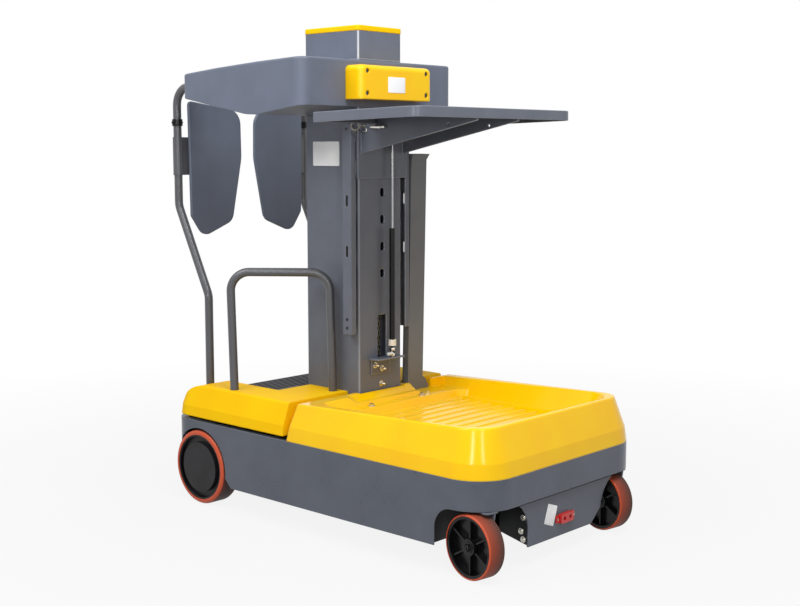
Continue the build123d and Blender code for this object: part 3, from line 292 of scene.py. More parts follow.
def surface(name, tones, roughness, grain_mm, depth_mm, patch_mm=110.0, edge_mm=0.0, painted_light_and_dirt=None, specular=0.5,
            **shader):
    """Principled surface: two tones drift over patches, roughness drifts with them, grain lifts the surface, a bend
    radius rounds its edges, and a painted highlight tone shows where the edges turn."""
    # Orange peel, spark grain and bloom are about a third of these sizes on the real finish, too fine to show from
    # the camera, so each grain is drawn that much coarser.
    material, tree = new_tree(name)
    place = add_node(tree, "ShaderNodeTexCoord").outputs["Object"]
    patch = add_node(tree, "ShaderNodeTexNoise", {"Vector": place, "Scale": 1 / (patch_mm * MM), "Detail": 2.0})
    grain = add_node(tree, "ShaderNodeTexNoise", {"Vector": place, "Scale": 1 / (grain_mm * MM), "Detail": 2.0})
    gloss = add_node(tree, "ShaderNodeMapRange", {"Value": patch.outputs["Fac"], "From Min": GLOSS_SPAN[0],
                                                  "From Max": GLOSS_SPAN[1], "To Min": roughness[0],
                                                  "To Max": roughness[1]})
    bump = add_node(tree, "ShaderNodeBump", {"Height": grain.outputs["Fac"], "Strength": GRAIN_STRENGTH,
                                             "Distance": depth_mm * MM})
    share = add_node(tree, "ShaderNodeMapRange", {"Value": patch.outputs["Fac"], "From Min": TONE_SPAN[0],
                                                  "From Max": TONE_SPAN[1]})
    tone = add_node(tree, "ShaderNodeMix", {MIX_SHARE: share.outputs["Result"], MIX_FIRST: tones[0],
                                            MIX_SECOND: tones[1]}, data_type="RGBA")
    sockets = {"Base Color": tone.outputs[MIX_RESULT], "Roughness": gloss.outputs["Result"],
               "Normal": bump.outputs["Normal"], "Specular IOR Level": specular}
    sockets.update(shader)
    principled = add_node(tree, "ShaderNodeBsdfPrincipled", sockets)
    add_node(tree, "ShaderNodeOutputMaterial", {"Surface": principled.outputs["BSDF"]})
    if edge_mm:
        edge = add_node(tree, "ShaderNodeBevel", {"Radius": edge_mm * MM}, samples=EDGE_SAMPLES)
        tree.links.new(edge.outputs["Normal"], bump.inputs["Normal"])
    # The edge tone is a painted highlight where the rounded normal turns away from the flat one.
    if painted_light_and_dirt:
        flat = add_node(tree, "ShaderNodeNewGeometry").outputs["Normal"]
        turn = add_node(tree, "ShaderNodeVectorMath", {0: edge.outputs["Normal"], 1: flat}, operation="DOT_PRODUCT")
        edge_lit = add_node(tree, "ShaderNodeMapRange", {"Value": turn.outputs["Value"], "From Min": HIGHLIGHT_SPAN[0],
                                                       "From Max": HIGHLIGHT_SPAN[1]})
        overlay(tree, edge_lit.outputs["Result"], painted_light_and_dirt)
    return material


def overlay(tree, share, tone):
    """Lays a tone over a surface's own colour, as strong as the share."""
    base = tree.nodes["Principled BSDF"].inputs["Base Color"]
    mixed = add_node(tree, "ShaderNodeMix", {MIX_SHARE: share, MIX_FIRST: base.links[0].from_socket,
                                             MIX_SECOND: tone}, data_type="RGBA")
    tree.links.new(mixed.outputs[MIX_RESULT], base)


def powder_coat(colours):
    """Powder-coated sheet steel: satin, with the faint orange peel of sprayed powder and a painted highlight on its
    edges.
    """
    return surface("powder_coated_steel", (colours.charcoal_shade, colours.charcoal), (0.26, 0.34), 2.4, 0.03,
                   edge_mm=2.5, painted_light_and_dirt=colours.edge_highlight, specular=0.35, IOR=1.5)


def mast_sheet(name, colours):
    """Powder coat on bent mast sheet: a shade paler than the chassis, with a like orange peel and a painted highlight
    on its edges.
    """
    return surface(name, (colours.mast_shade, colours.mast_grey), (0.29, 0.34), 2.4, 0.04, edge_mm=4.0,
                   painted_light_and_dirt=colours.mast_highlight, specular=0.35, IOR=1.5)


def mast_coat(colours):
    """Powder coat on the mast's rails and brackets: satin grey, with a painted highlight on its edges."""
    return mast_sheet("powder_coated_mast", colours)


BEND_WIDTH = 5 * MM


def highlight_bends(material, node, tone):
    """Paints a highlight along the four upright bends of a box-shaped node. The tone fades in over half the bend's
    width, from a quarter outside it to a quarter inside."""
    tree = material.node_tree
    low, high = (np.array(corner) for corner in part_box(node))
    half = (high - low) / 2
    place = add_node(tree, "ShaderNodeTexCoord").outputs["Object"]
    offset = add_node(tree, "ShaderNodeVectorMath", {0: place, 1: tuple((low + high) / 2)}, operation="SUBTRACT")
    reach = add_node(tree, "ShaderNodeVectorMath", {0: offset.outputs["Vector"]}, operation="ABSOLUTE")
    axes = add_node(tree, "ShaderNodeSeparateXYZ", {"Vector": reach.outputs["Vector"]})
    near = [add_node(tree, "ShaderNodeMapRange", {"Value": axes.outputs[axis], "From Min": size - 1.25 * BEND_WIDTH,
                                                  "From Max": size - 0.75 * BEND_WIDTH}).outputs["Result"]
            for axis, size in (("X", half[0]), ("Y", half[1]))]
    bend = add_node(tree, "ShaderNodeMath", {0: near[0], 1: near[1]}, operation="MULTIPLY")
    overlay(tree, bend.outputs[0], tone)
    return material


def column_coat(colours):
    """Powder coat on the column: as the mast's, with a painted highlight along the four long bends."""
    return highlight_bends(mast_sheet("powder_coated_column", colours), "mast_column", colours.edge_highlight)


def tube_coat(colours):
    """Powder coat on bent tube: a neutral grey that flows out smoother than on sheet, so its highlight is a stripe."""
    return surface("powder_coated_tube", drift(colours.tube_grey), (0.28, 0.34), 2.4, 0.02, specular=0.7, IOR=1.5)


def duct_paint(colours):
    """Powder-coated duct of thin sheet: the column's satin in a paler, more neutral grey."""
    return surface("powder_coated_duct", drift(colours.duct_grey), (0.34, 0.44), 2.4, 0.05,
                   edge_mm=1.0, specular=0.35, IOR=1.5)


def frame_shade_black(colours):
    """Near-black paint on welded steel, dark as painted shade for the inside of the chassis: half dull, with a slow
    brush ripple.
    """
    return surface("near_black_frame_shade", (colours.black_paint, colours.black), (0.45, 0.60), 5.0, 0.08,
                   specular=0.3, IOR=1.5)


def grey_moulding(colours):
    """Moulded ABS: a fine spark-eroded grain that scatters the highlight."""
    return surface("moulded_grey_abs", drift(colours.console_grey), (0.40, 0.50), 1.1, 0.06,
                   edge_mm=3.0, specular=0.35, IOR=1.5)


def tray_moulding(colours):
    """Gloss ABS sheet: smooth, with a slow ripple from forming and a clear gloss."""
    return surface("gloss_yellow_abs", (colours.yellow_shade, colours.yellow), (0.12, 0.20), 14.0, 0.10, patch_mm=180,
                   edge_mm=6.0, specular=0.25, IOR=1.5)


def cap_coat(colours):
    """Painted cap sheet: the console's grey, with painted highlights on its edges and bends."""
    material = surface("powder_coated_cap", drift(colours.console_grey), (0.30, 0.38), 2.4, 0.05,
                       edge_mm=3.5, painted_light_and_dirt=colours.cap_highlight, specular=0.35, IOR=1.5)
    return highlight_bends(material, "mast_cap", colours.cap_highlight)


def yellow_moulding(colours):
    """Satin ABS sheet: smooth, with a slow ripple from forming and a soft gloss."""
    return surface("satin_yellow_abs", (colours.yellow_shade, colours.yellow), (0.56, 0.64), 14.0, 0.10, patch_mm=180,
                   edge_mm=6.0, specular=0.14, IOR=1.5)


def shiny_black(name, colours):
    """Near black with a shine, for mouldings and lacquered steel alike."""
    return surface(name, drift(colours.black), (0.22, 0.32), 1.6, 0.05, edge_mm=1.0, specular=0.25, IOR=1.5)


def black_moulding(colours):
    """Glass-filled nylon: near black, with an even shine from a polished mould."""
    return shiny_black("glass_filled_nylon", colours)


def black_lacquer(colours):
    """Stoved black lacquer on steel tube and castings: near black, with an even shine."""
    return shiny_black("stoved_black_lacquer", colours)


def drive_disc(colours):
    """Painted wheel disc: dark grey and even."""
    return surface("painted_wheel_disc", (colours.black, colours.hub_grey), (0.36, 0.46), 2.0, 0.05, specular=0.25,
                   IOR=1.5)


def ribbed_rubber(colours):
    """Pressed rubber: dull, with a coarse grain."""
    return surface("pressed_rubber", drift(colours.rubber), (0.70, 0.85), 1.4, 0.12, specular=0.3, IOR=1.5)


# Ribs of the mat: the first one's middle from the mat's rear edge, their pitch, and how far the painted highlight
# reaches aside
MAT_FIRST_RIB = 8 * MM
MAT_RIB_PITCH = 20 * MM
MAT_CREST_HIGHLIGHT = (2.0 * MM, 4.6 * MM)


def mat_rubber(colours):
    """Ribbed rubber mat: dull, with a painted highlight along the middle of each rib and painted shade beside it and in
    the grooves.
    """
    material = surface("ribbed_rubber_mat", drift(colours.rib_groove_shade), (0.70, 0.85), 1.4, 0.12, specular=0.3, IOR=1.5)
    tree = material.node_tree
    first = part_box("floor_mat")[0][0] + MAT_FIRST_RIB
    place = add_node(tree, "ShaderNodeTexCoord").outputs["Object"]
    ahead = add_node(tree, "ShaderNodeSeparateXYZ", {"Vector": place}).outputs["X"]
    apart = add_node(tree, "ShaderNodeMath", {0: ahead, 1: first}, operation="SUBTRACT")
    aside = add_node(tree, "ShaderNodeMath", {0: apart.outputs[0], 1: MAT_RIB_PITCH / 2}, operation="PINGPONG")
    crest = add_node(tree, "ShaderNodeMapRange", {"Value": aside.outputs[0], "From Min": MAT_CREST_HIGHLIGHT[1],
                                                  "From Max": MAT_CREST_HIGHLIGHT[0]})
    overlay(tree, crest.outputs["Result"], colours.rib_crest_highlight)
    return material


def red_moulding(colours):
    """Polycarbonate: a clean red with a tight gloss."""
    return surface("red_polycarbonate", drift(colours.red), (0.28, 0.36), 2.0, 0.03, IOR=1.58)


def white_nylon(colours):
    """Cast nylon: milky white and waxy."""
    return surface("cast_nylon", drift(colours.nylon), (0.40, 0.50), 2.0, 0.04, IOR=1.53)


def blank_plate(colours):
    """Printed-stock foil left bare: white and half gloss."""
    return surface("blank_foil", drift(colours.plate), (0.30, 0.38), 3.0, 0.02, IOR=1.45)


def zinc_plate(colours):
    """Zinc-plated steel: bright, with a passivated bloom in patches."""
    return surface("zinc_plated_steel", drift(colours.zinc), (0.18, 0.32), 1.2, 0.03, patch_mm=12,
                   Metallic=1.0)


# Blackened screws are further aside than the first of these, or further ahead than the second
RAIL_SCREWS_ASIDE = 130 * MM
BOX_SCREWS_AHEAD = 20 * MM
SCREW_BLOOM = 6 * MM
SCREW_ROUGHNESS = (0.16, 0.42)


def mixed_screws(colours):
    """Machine screws: bright zinc in front of the mast, blackened steel on the rails and in the yellow box."""
    material, tree = new_tree("zinc_and_blackened_screws")
    place = add_node(tree, "ShaderNodeTexCoord").outputs["Object"]
    axes = add_node(tree, "ShaderNodeSeparateXYZ", {"Vector": place})
    aside = add_node(tree, "ShaderNodeMath", {0: axes.outputs["Y"]}, operation="ABSOLUTE")
    rails = add_node(tree, "ShaderNodeMath", {0: aside.outputs[0], 1: RAIL_SCREWS_ASIDE},
                     operation="GREATER_THAN")
    box = add_node(tree, "ShaderNodeMath", {0: axes.outputs["X"], 1: BOX_SCREWS_AHEAD}, operation="GREATER_THAN")
    dark = add_node(tree, "ShaderNodeMath", {0: rails.outputs[0], 1: box.outputs[0]}, operation="MAXIMUM")
    bright = add_node(tree, "ShaderNodeMath", {0: 1.0, 1: dark.outputs[0]}, operation="SUBTRACT")
    bloom = add_node(tree, "ShaderNodeTexNoise", {"Vector": place, "Scale": 1 / SCREW_BLOOM, "Detail": 3.0})
    gloss = add_node(tree, "ShaderNodeMapRange", {"Value": bloom.outputs["Fac"], "To Min": SCREW_ROUGHNESS[0],
                                                  "To Max": SCREW_ROUGHNESS[1]})
    tone = add_node(tree, "ShaderNodeMix", {MIX_SHARE: dark.outputs[0], MIX_FIRST: colours.zinc,
                                            MIX_SECOND: colours.screw_black}, data_type="RGBA")
    principled = add_node(tree, "ShaderNodeBsdfPrincipled", {"Base Color": tone.outputs[MIX_RESULT],
                                                             "Metallic": bright.outputs[0],
                                                             "Roughness": gloss.outputs["Result"]})
    add_node(tree, "ShaderNodeOutputMaterial", {"Surface": principled.outputs["BSDF"]})
    return material


def oiled_steel(colours):
    """Rolled steel under oil: dark metal with a soft shine."""
    return surface("oiled_steel", drift(colours.chain), (0.34, 0.50), 1.5, 0.04, patch_mm=8, Metallic=1.0)


def chrome_rod(colours):
    """Ground hard chrome: a bright rod with hardly any grain."""
    return surface("hard_chrome", drift(colours.rod), (0.08, 0.16), 0.8, 0.01, patch_mm=30, Metallic=1.0)


GRIME_SPOT = 4 * MM
GRIME_DEPTH = 0.1 * MM
GRIME_SHARE = 0.12
# Spans over which the tread goes from its dark tone, floor dirt and painted shade, to its pale one, and over which a
# face that turns to the side takes the flank's colour and its gloss; roughness is the tread's and the flank's
TREAD_SPAN = (0.20, 0.98)
FLANK_SPAN = (0.35, 0.75)
FLANK_GLOSS_SPAN = (0.2, 0.7)
TYRE_ROUGHNESS = (0.62, 0.30)


def cast_polyurethane(name, tones, centre, axis, half_width, darkest_at):
    """Cast polyurethane: a waxy orange flank, and a dull tread, darkest at a place across it that is 0 in the middle
    and 1
    at the end of the axis: floor dirt and painted shade on a drive tread, painted shade beside a caster's yoke."""
    material, tree = new_tree(f"cast_polyurethane_{name}")
    coordinates = add_node(tree, "ShaderNodeTexCoord")
    grime = add_node(tree, "ShaderNodeTexNoise", {"Vector": coordinates.outputs["Object"], "Scale": 1 / GRIME_SPOT,
                                                  "Detail": 3.0})
    facing = add_node(tree, "ShaderNodeVectorMath", {0: coordinates.outputs["Normal"], 1: axis},
                      operation="DOT_PRODUCT")
    flank = add_node(tree, "ShaderNodeMath", {0: facing.outputs["Value"]}, operation="ABSOLUTE")
    offset = add_node(tree, "ShaderNodeVectorMath", {0: coordinates.outputs["Object"], 1: centre},
                      operation="SUBTRACT")
    along = add_node(tree, "ShaderNodeVectorMath", {0: offset.outputs["Vector"], 1: axis}, operation="DOT_PRODUCT")
    apart = add_node(tree, "ShaderNodeMath", {0: along.outputs["Value"], 1: darkest_at * half_width}, operation="SUBTRACT")
    aside = add_node(tree, "ShaderNodeMath", {0: apart.outputs[0]}, operation="ABSOLUTE")
    share = add_node(tree, "ShaderNodeMath", {0: aside.outputs[0], 1: (1 + darkest_at) * half_width}, operation="DIVIDE")
    uneven = add_node(tree, "ShaderNodeMath", {0: grime.outputs["Fac"], 1: GRIME_SHARE, 2: share.outputs[0]},
                      operation="MULTIPLY_ADD")
    # The dark tone is floor dirt with painted shade, and for a caster only painted shade beside the yoke; clean is the
    # paler tone.
    dirt_and_shade, clean, side = tones
    painted_light_and_dirt = add_node(tree, "ShaderNodeMapRange", {"Value": uneven.outputs[0], "From Min": TREAD_SPAN[0],
                                                 "From Max": TREAD_SPAN[1]})
    tread = add_node(tree, "ShaderNodeMix", {MIX_SHARE: painted_light_and_dirt.outputs["Result"], MIX_FIRST: dirt_and_shade, MIX_SECOND: clean},
                     data_type="RGBA")
    turned = add_node(tree, "ShaderNodeMapRange", {"Value": flank.outputs[0], "From Min": FLANK_SPAN[0],
                                                   "From Max": FLANK_SPAN[1]})
    tone = add_node(tree, "ShaderNodeMix", {MIX_SHARE: turned.outputs["Result"],
                                            MIX_FIRST: tread.outputs[MIX_RESULT], MIX_SECOND: side},
                    data_type="RGBA")
    gloss = add_node(tree, "ShaderNodeMapRange", {"Value": flank.outputs[0], "From Min": FLANK_GLOSS_SPAN[0],
                                                  "From Max": FLANK_GLOSS_SPAN[1], "To Min": TYRE_ROUGHNESS[0],
                                                  "To Max": TYRE_ROUGHNESS[1]})
    bump = add_node(tree, "ShaderNodeBump", {"Height": grime.outputs["Fac"], "Strength": 0.3,
                                             "Distance": GRIME_DEPTH})
    principled = add_node(tree, "ShaderNodeBsdfPrincipled", {"Base Color": tone.outputs[MIX_RESULT], "IOR": 1.49,
                                                             "Roughness": gloss.outputs["Result"],
                                                             "Specular IOR Level": 0.3,
                                                             "Normal": bump.outputs["Normal"]})
    add_node(tree, "ShaderNodeOutputMaterial", {"Surface": principled.outputs["BSDF"]})
    return material


# The finish of each material slot, and the nodes whose finish differs from their slot's
FINISHES = {
    "charcoal_paint": mast_coat,
    "black_paint": black_lacquer,
    "yellow_moulding": yellow_moulding,
    "grey_moulding": grey_moulding,
    "black_plastic": black_moulding,
    "red_plastic": red_moulding,
    "white_nylon": white_nylon,
    "zinc_steel": zinc_plate,
    "chrome_rod": chrome_rod,
    "chain_steel": oiled_steel,
    "cast_housing": black_lacquer,
    "rubber": ribbed_rubber,
}
SPECIAL = {
    "base_skirt": powder_coat,
    "front_plate": powder_coat,
    "right_caster_yoke": powder_coat,
    "left_caster_yoke": powder_coat,
    # The chassis frame's near black is painted shade for the inside of the chassis.
    "chassis_frame": frame_shade_black,
    "load_tray": tray_moulding,
    "front_box": tray_moulding,
    "right_drive_hub": drive_disc,
    "left_drive_hub": drive_disc,
    "cable_chute": duct_paint,
    "mast_column": column_coat,
    "mast_cap": cap_coat,
    "platform_screws": mixed_screws,
    "floor_mat": mat_rubber,
    "guard_tubes": tube_coat,
    "side_hoops": tube_coat,
    "right_door_hinge": tube_coat,
    "left_door_hinge": tube_coat,
}
TYRES = ("right_drive", "left_drive", "right_caster", "left_caster")
MADE = {}


def finish(maker):
    """The material of one maker, made once."""
    if maker.__name__ not in MADE:
        MADE[maker.__name__] = maker(bpy.context.scene.picker_colours)
    return MADE[maker.__name__]


# Operators

class PickerOperator:
    """What every operator here shares."""
    bl_options = {"REGISTER", "UNDO"}


class PICKER_OT_node_finishes(PickerOperator, bpy.types.Operator):
    """Give every node of the frame the material of its slot"""
    bl_idname = "picker.node_finishes"
    bl_label = "Node Finishes"

    def execute(self, context):
        slots = {part["node"]: part["material_slot"] for part in frame["record"]["subparts"]}
        # The tyres' slot isn't among the finishes, because each tyre has a material of its own
        for name, node in frame["nodes"].items():
            if slots[name] in FINISHES:
                coat(node, finish(SPECIAL.get(name, FINISHES[slots[name]])))
        return {"FINISHED"}


def coat(node, material):
    """Makes one material the only one of a node."""
    node.data.materials.clear()
    node.data.materials.append(material)


class PICKER_OT_tyre_finishes(PickerOperator, bpy.types.Operator):
    """Give each tyre an orange flank and a tread darkened by dirt and painted shade, measured from the wheel's own axle
    """
    bl_idname = "picker.tyre_finishes"
    bl_label = "Tyre Finishes"

    def execute(self, context):
        colours = context.scene.picker_colours
        treads = {"drive": (colours.drive_grime_and_shade, colours.drive_stain_and_shade), "caster": (colours.caster_yoke_shade, colours.tyre_tread)}
        darkest_at = {"drive": 0.0, "caster": 1.0}
        for wheel in TYRES:
            axle = next(j for j in frame["joints"] if j["name"] == f"{wheel}_spin")
            low, high = (np.array(corner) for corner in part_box(f"{wheel}_tyre"))
            axis = np.array(axle["axis"])
            across = (high - low)[1]
            tall = (high - low)[2]
            # A turned wheel's box is as wide as its slanted tread and the slant of its flanks together
            half_width = (across - tall * abs(axis[0])) / abs(axis[1]) / 2
            kind = wheel.split("_")[1]
            tones = (*treads[kind], colours.tyre_side)
            material = cast_polyurethane(wheel, tones, tuple((low + high) / 2), tuple(axis), half_width, darkest_at[kind])
            coat(frame["nodes"][f"{wheel}_tyre"], material)
        return {"FINISHED"}


CHAIN_RUNS = {"lift_chain_run": "platform", "fixed_chain_run": "chassis"}
LINK_HEIGHT = 10 * MM
LACED_HALF = 11.5 * MM
PIN_RADIUS = 2.4 * MM
PIN_LENGTH = 25 * MM


class PICKER_OT_lift_chains(PickerOperator, bpy.types.Operator):
    """Build the leaf chains: waisted plates laced on pins, in place of the plain bars"""
    bl_idname = "picker.lift_chains"
    bl_label = "Lift Chains"

    def execute(self, context):
        for node, body in CHAIN_RUNS.items():
            low, high = (np.array(corner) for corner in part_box(node))
            chain = laced_chain(low, high, context.scene.picker_sizes)
            piece = add_piece(node.replace("run", "links"), chain, finish(oiled_steel), body)
            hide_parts(node)
        return {"FINISHED"}


def laced_chain(low, high, sizes):
    """Leaf chain up a box: plates of every second row at every second pitch, the other rows' plates a pitch higher,
    and pins halfway between."""
    pitch = sizes.chain_pitch
    middle_x = low[0] + LINK_HEIGHT / 2
    middle_y = (low[1] + high[1]) / 2
    steps = np.arange(low[2] + pitch, high[2] - pitch, pitch)
    rows = middle_y + np.linspace(-1, 1, sizes.links_across) * LACED_HALF
    plate = chain_plate(pitch, LINK_HEIGHT, sizes.link_thickness)
    plates = []
    for parity in (0, 1):
        grid = np.stack(np.meshgrid([middle_x], rows[parity::2], steps[parity::2], indexing="ij"), axis=3)
        plates.append(copies(plate, grid.reshape(-1, 3)))
    pin = placed(carried(circle(PIN_RADIUS, 12), [(1, 0), (1, PIN_LENGTH)]), (0, 0, 0), (0, 1, 0))
    spots = np.stack([np.full_like(steps, middle_x), np.full_like(steps, middle_y - PIN_LENGTH / 2),
                      steps + pitch / 2], axis=1)
    return joined([*plates, copies(pin, spots)])


def chain_plate(pitch, height, thickness):
    """One plate: round ends a pitch apart with a waist between, where half height follows a cosine along the plate."""
    waist_depth = 0.16
    least = 0.3 * MM
    along = np.linspace(-1, 1, 15)
    reach = pitch / 2 + height / 2
    ends = np.sqrt(np.clip(1 - np.clip((np.abs(along) * reach - pitch / 2) / (height / 2), 0, 1) ** 2, 0, 1))
    waist = 1 - waist_depth * (1 + np.cos(np.pi * np.clip(along * reach / (pitch / 2), -1, 1))) / 2
    half = np.maximum(height / 2 * ends * waist, least)
    outline = np.concatenate([np.stack([half, along * reach], axis=1), np.stack([-half, along * reach], axis=1)[::-1]])
    sides = np.array([thickness / 2, -thickness / 2])
    points = np.stack([np.broadcast_to(outline[None, :, 0], (2, len(outline))),
                       np.broadcast_to(sides[:, None], (2, len(outline))),
                       np.broadcast_to(outline[None, :, 1], (2, len(outline)))], axis=2)
    return points.reshape(-1, 3), band_faces(2, len(outline), caps=True)


# Width, height and corner radius of each bare plate, and its middle on the face that carries it
COLUMN_PLATE = (123 * MM, 79 * MM, 3 * MM)
COLUMN_PLATE_XZ = (-188 * MM, 1170.5 * MM)
BOX_PLATE = (79 * MM, 49 * MM, 3 * MM)
BOX_PLATE_YZ = (-5.4 * MM, 1387 * MM)
CROOKED_FOIL = (47 * MM, 60 * MM, 2 * MM)
CROOKED_FOIL_YZ = (-68 * MM, 129 * MM)
CROOKED_TURN = -20.0


class PICKER_OT_blank_plates(PickerOperator, bpy.types.Operator):
    """Set the bare plates on the column's side, on the yellow box and on the front plate"""
    bl_idname = "picker.blank_plates"
    bl_label = "Blank Plates"

    def execute(self, context):
        thick = context.scene.picker_sizes.plate_thickness
        column_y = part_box("mast_column")[0][1]
        box_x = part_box("front_box")[1][0]
        chassis_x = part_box("front_plate")[1][0]
        x, z = COLUMN_PLATE_XZ
        side = placed(plate_solid(*COLUMN_PLATE, thick), (x, column_y, z), (0, -1, 0))
        front = placed(plate_solid(*BOX_PLATE, thick), (box_x, *BOX_PLATE_YZ), (1, 0, 0))
        crooked = spun(plate_solid(*CROOKED_FOIL, thick), CROOKED_TURN)
        chassis = placed(crooked, (chassis_x, *CROOKED_FOIL_YZ), (1, 0, 0))
        add_piece("column_plate", side, finish(blank_plate), "platform")
        add_piece("box_plate", front, finish(blank_plate), "platform")
        add_piece("chassis_foil", chassis, finish(blank_plate), "chassis")
        return {"FINISHED"}


def plate_solid(width, height, radius, thickness):
    """Thin plate: a rounded rectangle carried up its thickness, with a small round at the top edge."""
    drawn_in = 0.6 * MM
    straight = 0.7 * thickness
    outline = rounded_rectangle(width, height, radius)
    edge = 1 - drawn_in / (width / 2)
    return carried(outline, [(1, 0), (1, straight), (edge, thickness)])


WASHER_RADIUS = 17 * MM
AXLE_NUT_ACROSS = 19 * MM
AXLE_BOLT_RADIUS = 6 * MM
HUB_FACE = 25.5 * MM


class PICKER_OT_wheel_trim(PickerOperator, bpy.types.Operator):
    """Fit the axle nuts on the casters"""
    bl_idname = "picker.wheel_trim"
    bl_label = "Wheel Trim"

    def execute(self, context):
        washer = carried(circle(WASHER_RADIUS), [(1, 0), (1, 2 * MM), (0.94, 2.6 * MM)])
        nut = carried(hexagon(AXLE_NUT_ACROSS), [(1, 2.6 * MM), (1, 9 * MM), (0.9, 10.5 * MM)])
        bolt = carried(circle(AXLE_BOLT_RADIUS, 20), [(1, 10.5 * MM), (1, 12.5 * MM), (0.8, 13.5 * MM)])
        for side in ("right", "left"):
            spin = next(j for j in frame["joints"] if j["name"] == f"{side}_caster_spin")
            outward = -np.array(spin["axis"])
            cap = placed(joined([washer, nut, bolt]), np.array(spin["pos_m"]) + outward * HUB_FACE, outward)
            add_piece(f"{side}_caster_axle_nut", cap, finish(black_moulding), f"{side}_caster_wheel")
        return {"FINISHED"}


# The latch sits on the outer face of the table's near gusset; profiles are pairs of radius and height in millimetres
GUSSET_Y = -100 * MM
RING_AT = (-25 * MM, -131 * MM, 1257.5 * MM)
RING_FACES = (0.80, -0.60, 0.0)
RING_WIRE = 2.5 * MM
STEM_X = -17.2 * MM
STEM_PROFILE = [(6.5, 0), (6.5, 3), (3.4, 4), (3.4, 19), (2.4, 21)]
CATCH_AT = (20 * MM, GUSSET_Y - 7.5 * MM, 1254.8 * MM)
CATCH_PROFILE = [(3.0, 0), (5.0, 1), (5.0, 12), (6.5, 13), (6.5, 34), (8.0, 35), (8.0, 45), (5.5, 46), (5.5, 59),
                 (4.0, 61)]
STAPLE_X = (-28 * MM, -4 * MM)
STAPLE_Z = (1240 * MM, 1252 * MM)
STAPLE_BEND = 4 * MM
STAPLE_WIRE = 2 * MM
STAPLE_CLEAR = 1.8 * MM


class PICKER_OT_table_latch(PickerOperator, bpy.types.Operator):
    """Hang the pull ring and fit the bright catch and its staple at the head of the table's slide"""
    bl_idname = "picker.table_latch"
    bl_label = "Table Latch"

    def execute(self, context):
        ring = placed(torus(context.scene.picker_sizes.ring_radius, RING_WIRE), RING_AT, RING_FACES)
        stem = carried(circle(1.0, 20), np.array(STEM_PROFILE) * MM)
        stem = placed(stem, (STEM_X, GUSSET_Y, RING_AT[2]), (0, -1, 0))
        add_piece("pull_ring", joined([ring, stem]), finish(oiled_steel), "table")
        barrel = placed(carried(circle(1.0, 20), np.array(CATCH_PROFILE) * MM), CATCH_AT, (1, 0, 0))
        add_piece("catch_barrel", barrel, finish(zinc_plate), "table")
        staple = bent_wire(hook_path(*STAPLE_X, GUSSET_Y - STAPLE_CLEAR, *STAPLE_Z, STAPLE_BEND), STAPLE_WIRE)
        add_piece("catch_staple", staple, finish(zinc_plate), "table")
        return {"FINISHED"}


def hook_path(start_x, end_x, y, low_z, high_z, radius):
    """Points of an L: a straight run along X, a quarter circle, and a straight run up, in the XZ plane."""
    turn = np.linspace(-np.pi / 2, 0, 9)
    x = np.concatenate([[start_x], end_x - radius + radius * np.cos(turn), [end_x]])
    z = np.concatenate([[low_z], low_z + radius + radius * np.sin(turn), [high_z]])
    return np.stack([x, np.full_like(x, y), z], axis=1)


# Fittings at the foot of the gas spring, with heights above the cylinder's lower end
SPRING_NUT_ACROSS = 17 * MM
SPRING_NUTS_UP = (0.5 * MM, 20 * MM)
CLEVIS_RADIUS = 7 * MM
CLEVIS_FROM_AXIS = (4 * MM, -8 * MM, 12 * MM)
CLEVIS_ALONG = (0.30, -0.954, 0.0)


class PICKER_OT_spring_fittings(PickerOperator, bpy.types.Operator):
    """Fit the clevis bolt and the nuts at the foot of the gas spring"""
    bl_idname = "picker.spring_fittings"
    bl_label = "Spring Fittings"

    def execute(self, context):
        low, high = (np.array(corner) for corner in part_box("gas_spring_cylinder"))
        foot = np.array([*(low + high)[:2] / 2, low[2]])
        nut = carried(hexagon(SPRING_NUT_ACROSS), [(0.92, 0), (1, 1 * MM), (1, 8 * MM), (0.92, 9 * MM)])
        bolt = carried(circle(CLEVIS_RADIUS, 24), [(1, 0), (1, 20 * MM), (0.85, 22 * MM)])
        stack = [placed(nut, foot + (0, 0, up), (0, 0, 1)) for up in SPRING_NUTS_UP]
        stack.append(placed(bolt, foot + CLEVIS_FROM_AXIS, CLEVIS_ALONG))
        add_piece("spring_fittings", joined(stack), finish(zinc_plate), "platform")
        return {"FINISHED"}


STUD_RADIUS = 4.3 * MM
STUDS_AT = np.array([(-29, -33, 480), (-29, 0, 466), (-33, 0, 415)]) * MM


class PICKER_OT_front_studs(PickerOperator, bpy.types.Operator):
    """Screw threaded studs through the nuts at the foot of the column's front"""
    bl_idname = "picker.front_studs"
    bl_label = "Front Studs"

    def execute(self, context):
        stud = placed(threaded_end(STUD_RADIUS, context.scene.picker_sizes.stud_length), (0, 0, 0), (1, 0, 0))
        add_piece("front_studs", copies(stud, STUDS_AT), finish(zinc_plate), "platform")
        return {"FINISHED"}


def threaded_end(radius, reach):
    """Thread: the radius rises and falls in equal steps along the stud, with a chamfer at its end."""
    rings = 15
    groove_depth = 0.10
    chamfered = 0.7
    along = np.linspace(0, reach, rings)
    wave = radius * (1 - groove_depth * (np.arange(rings) % 2))
    wave[-1] = chamfered * radius
    return carried(circle(1.0, 14), np.stack([wave, along], axis=1))


# Soft boxes: name, place, the point that it faces, width and height, all in metres, and power in watts
LAMPS = (
    ("high_side", (-0.4, -2.0, 2.8), (0.0, 0.0, 0.9), (1.6, 1.6), 42.0),
    ("high_front", (1.75, -0.6, 3.6), (0.1, 0.0, 0.9), (1.6, 1.6), 80.0),
    ("left_box", (1.75, -3.05, 1.68), (0.2, -0.1, 0.6), (0.42, 0.9), 19.0),
    ("right_box", (3.07, -1.93, 1.73), (0.2, -0.1, 0.6), (0.25, 0.9), 12.0),
)


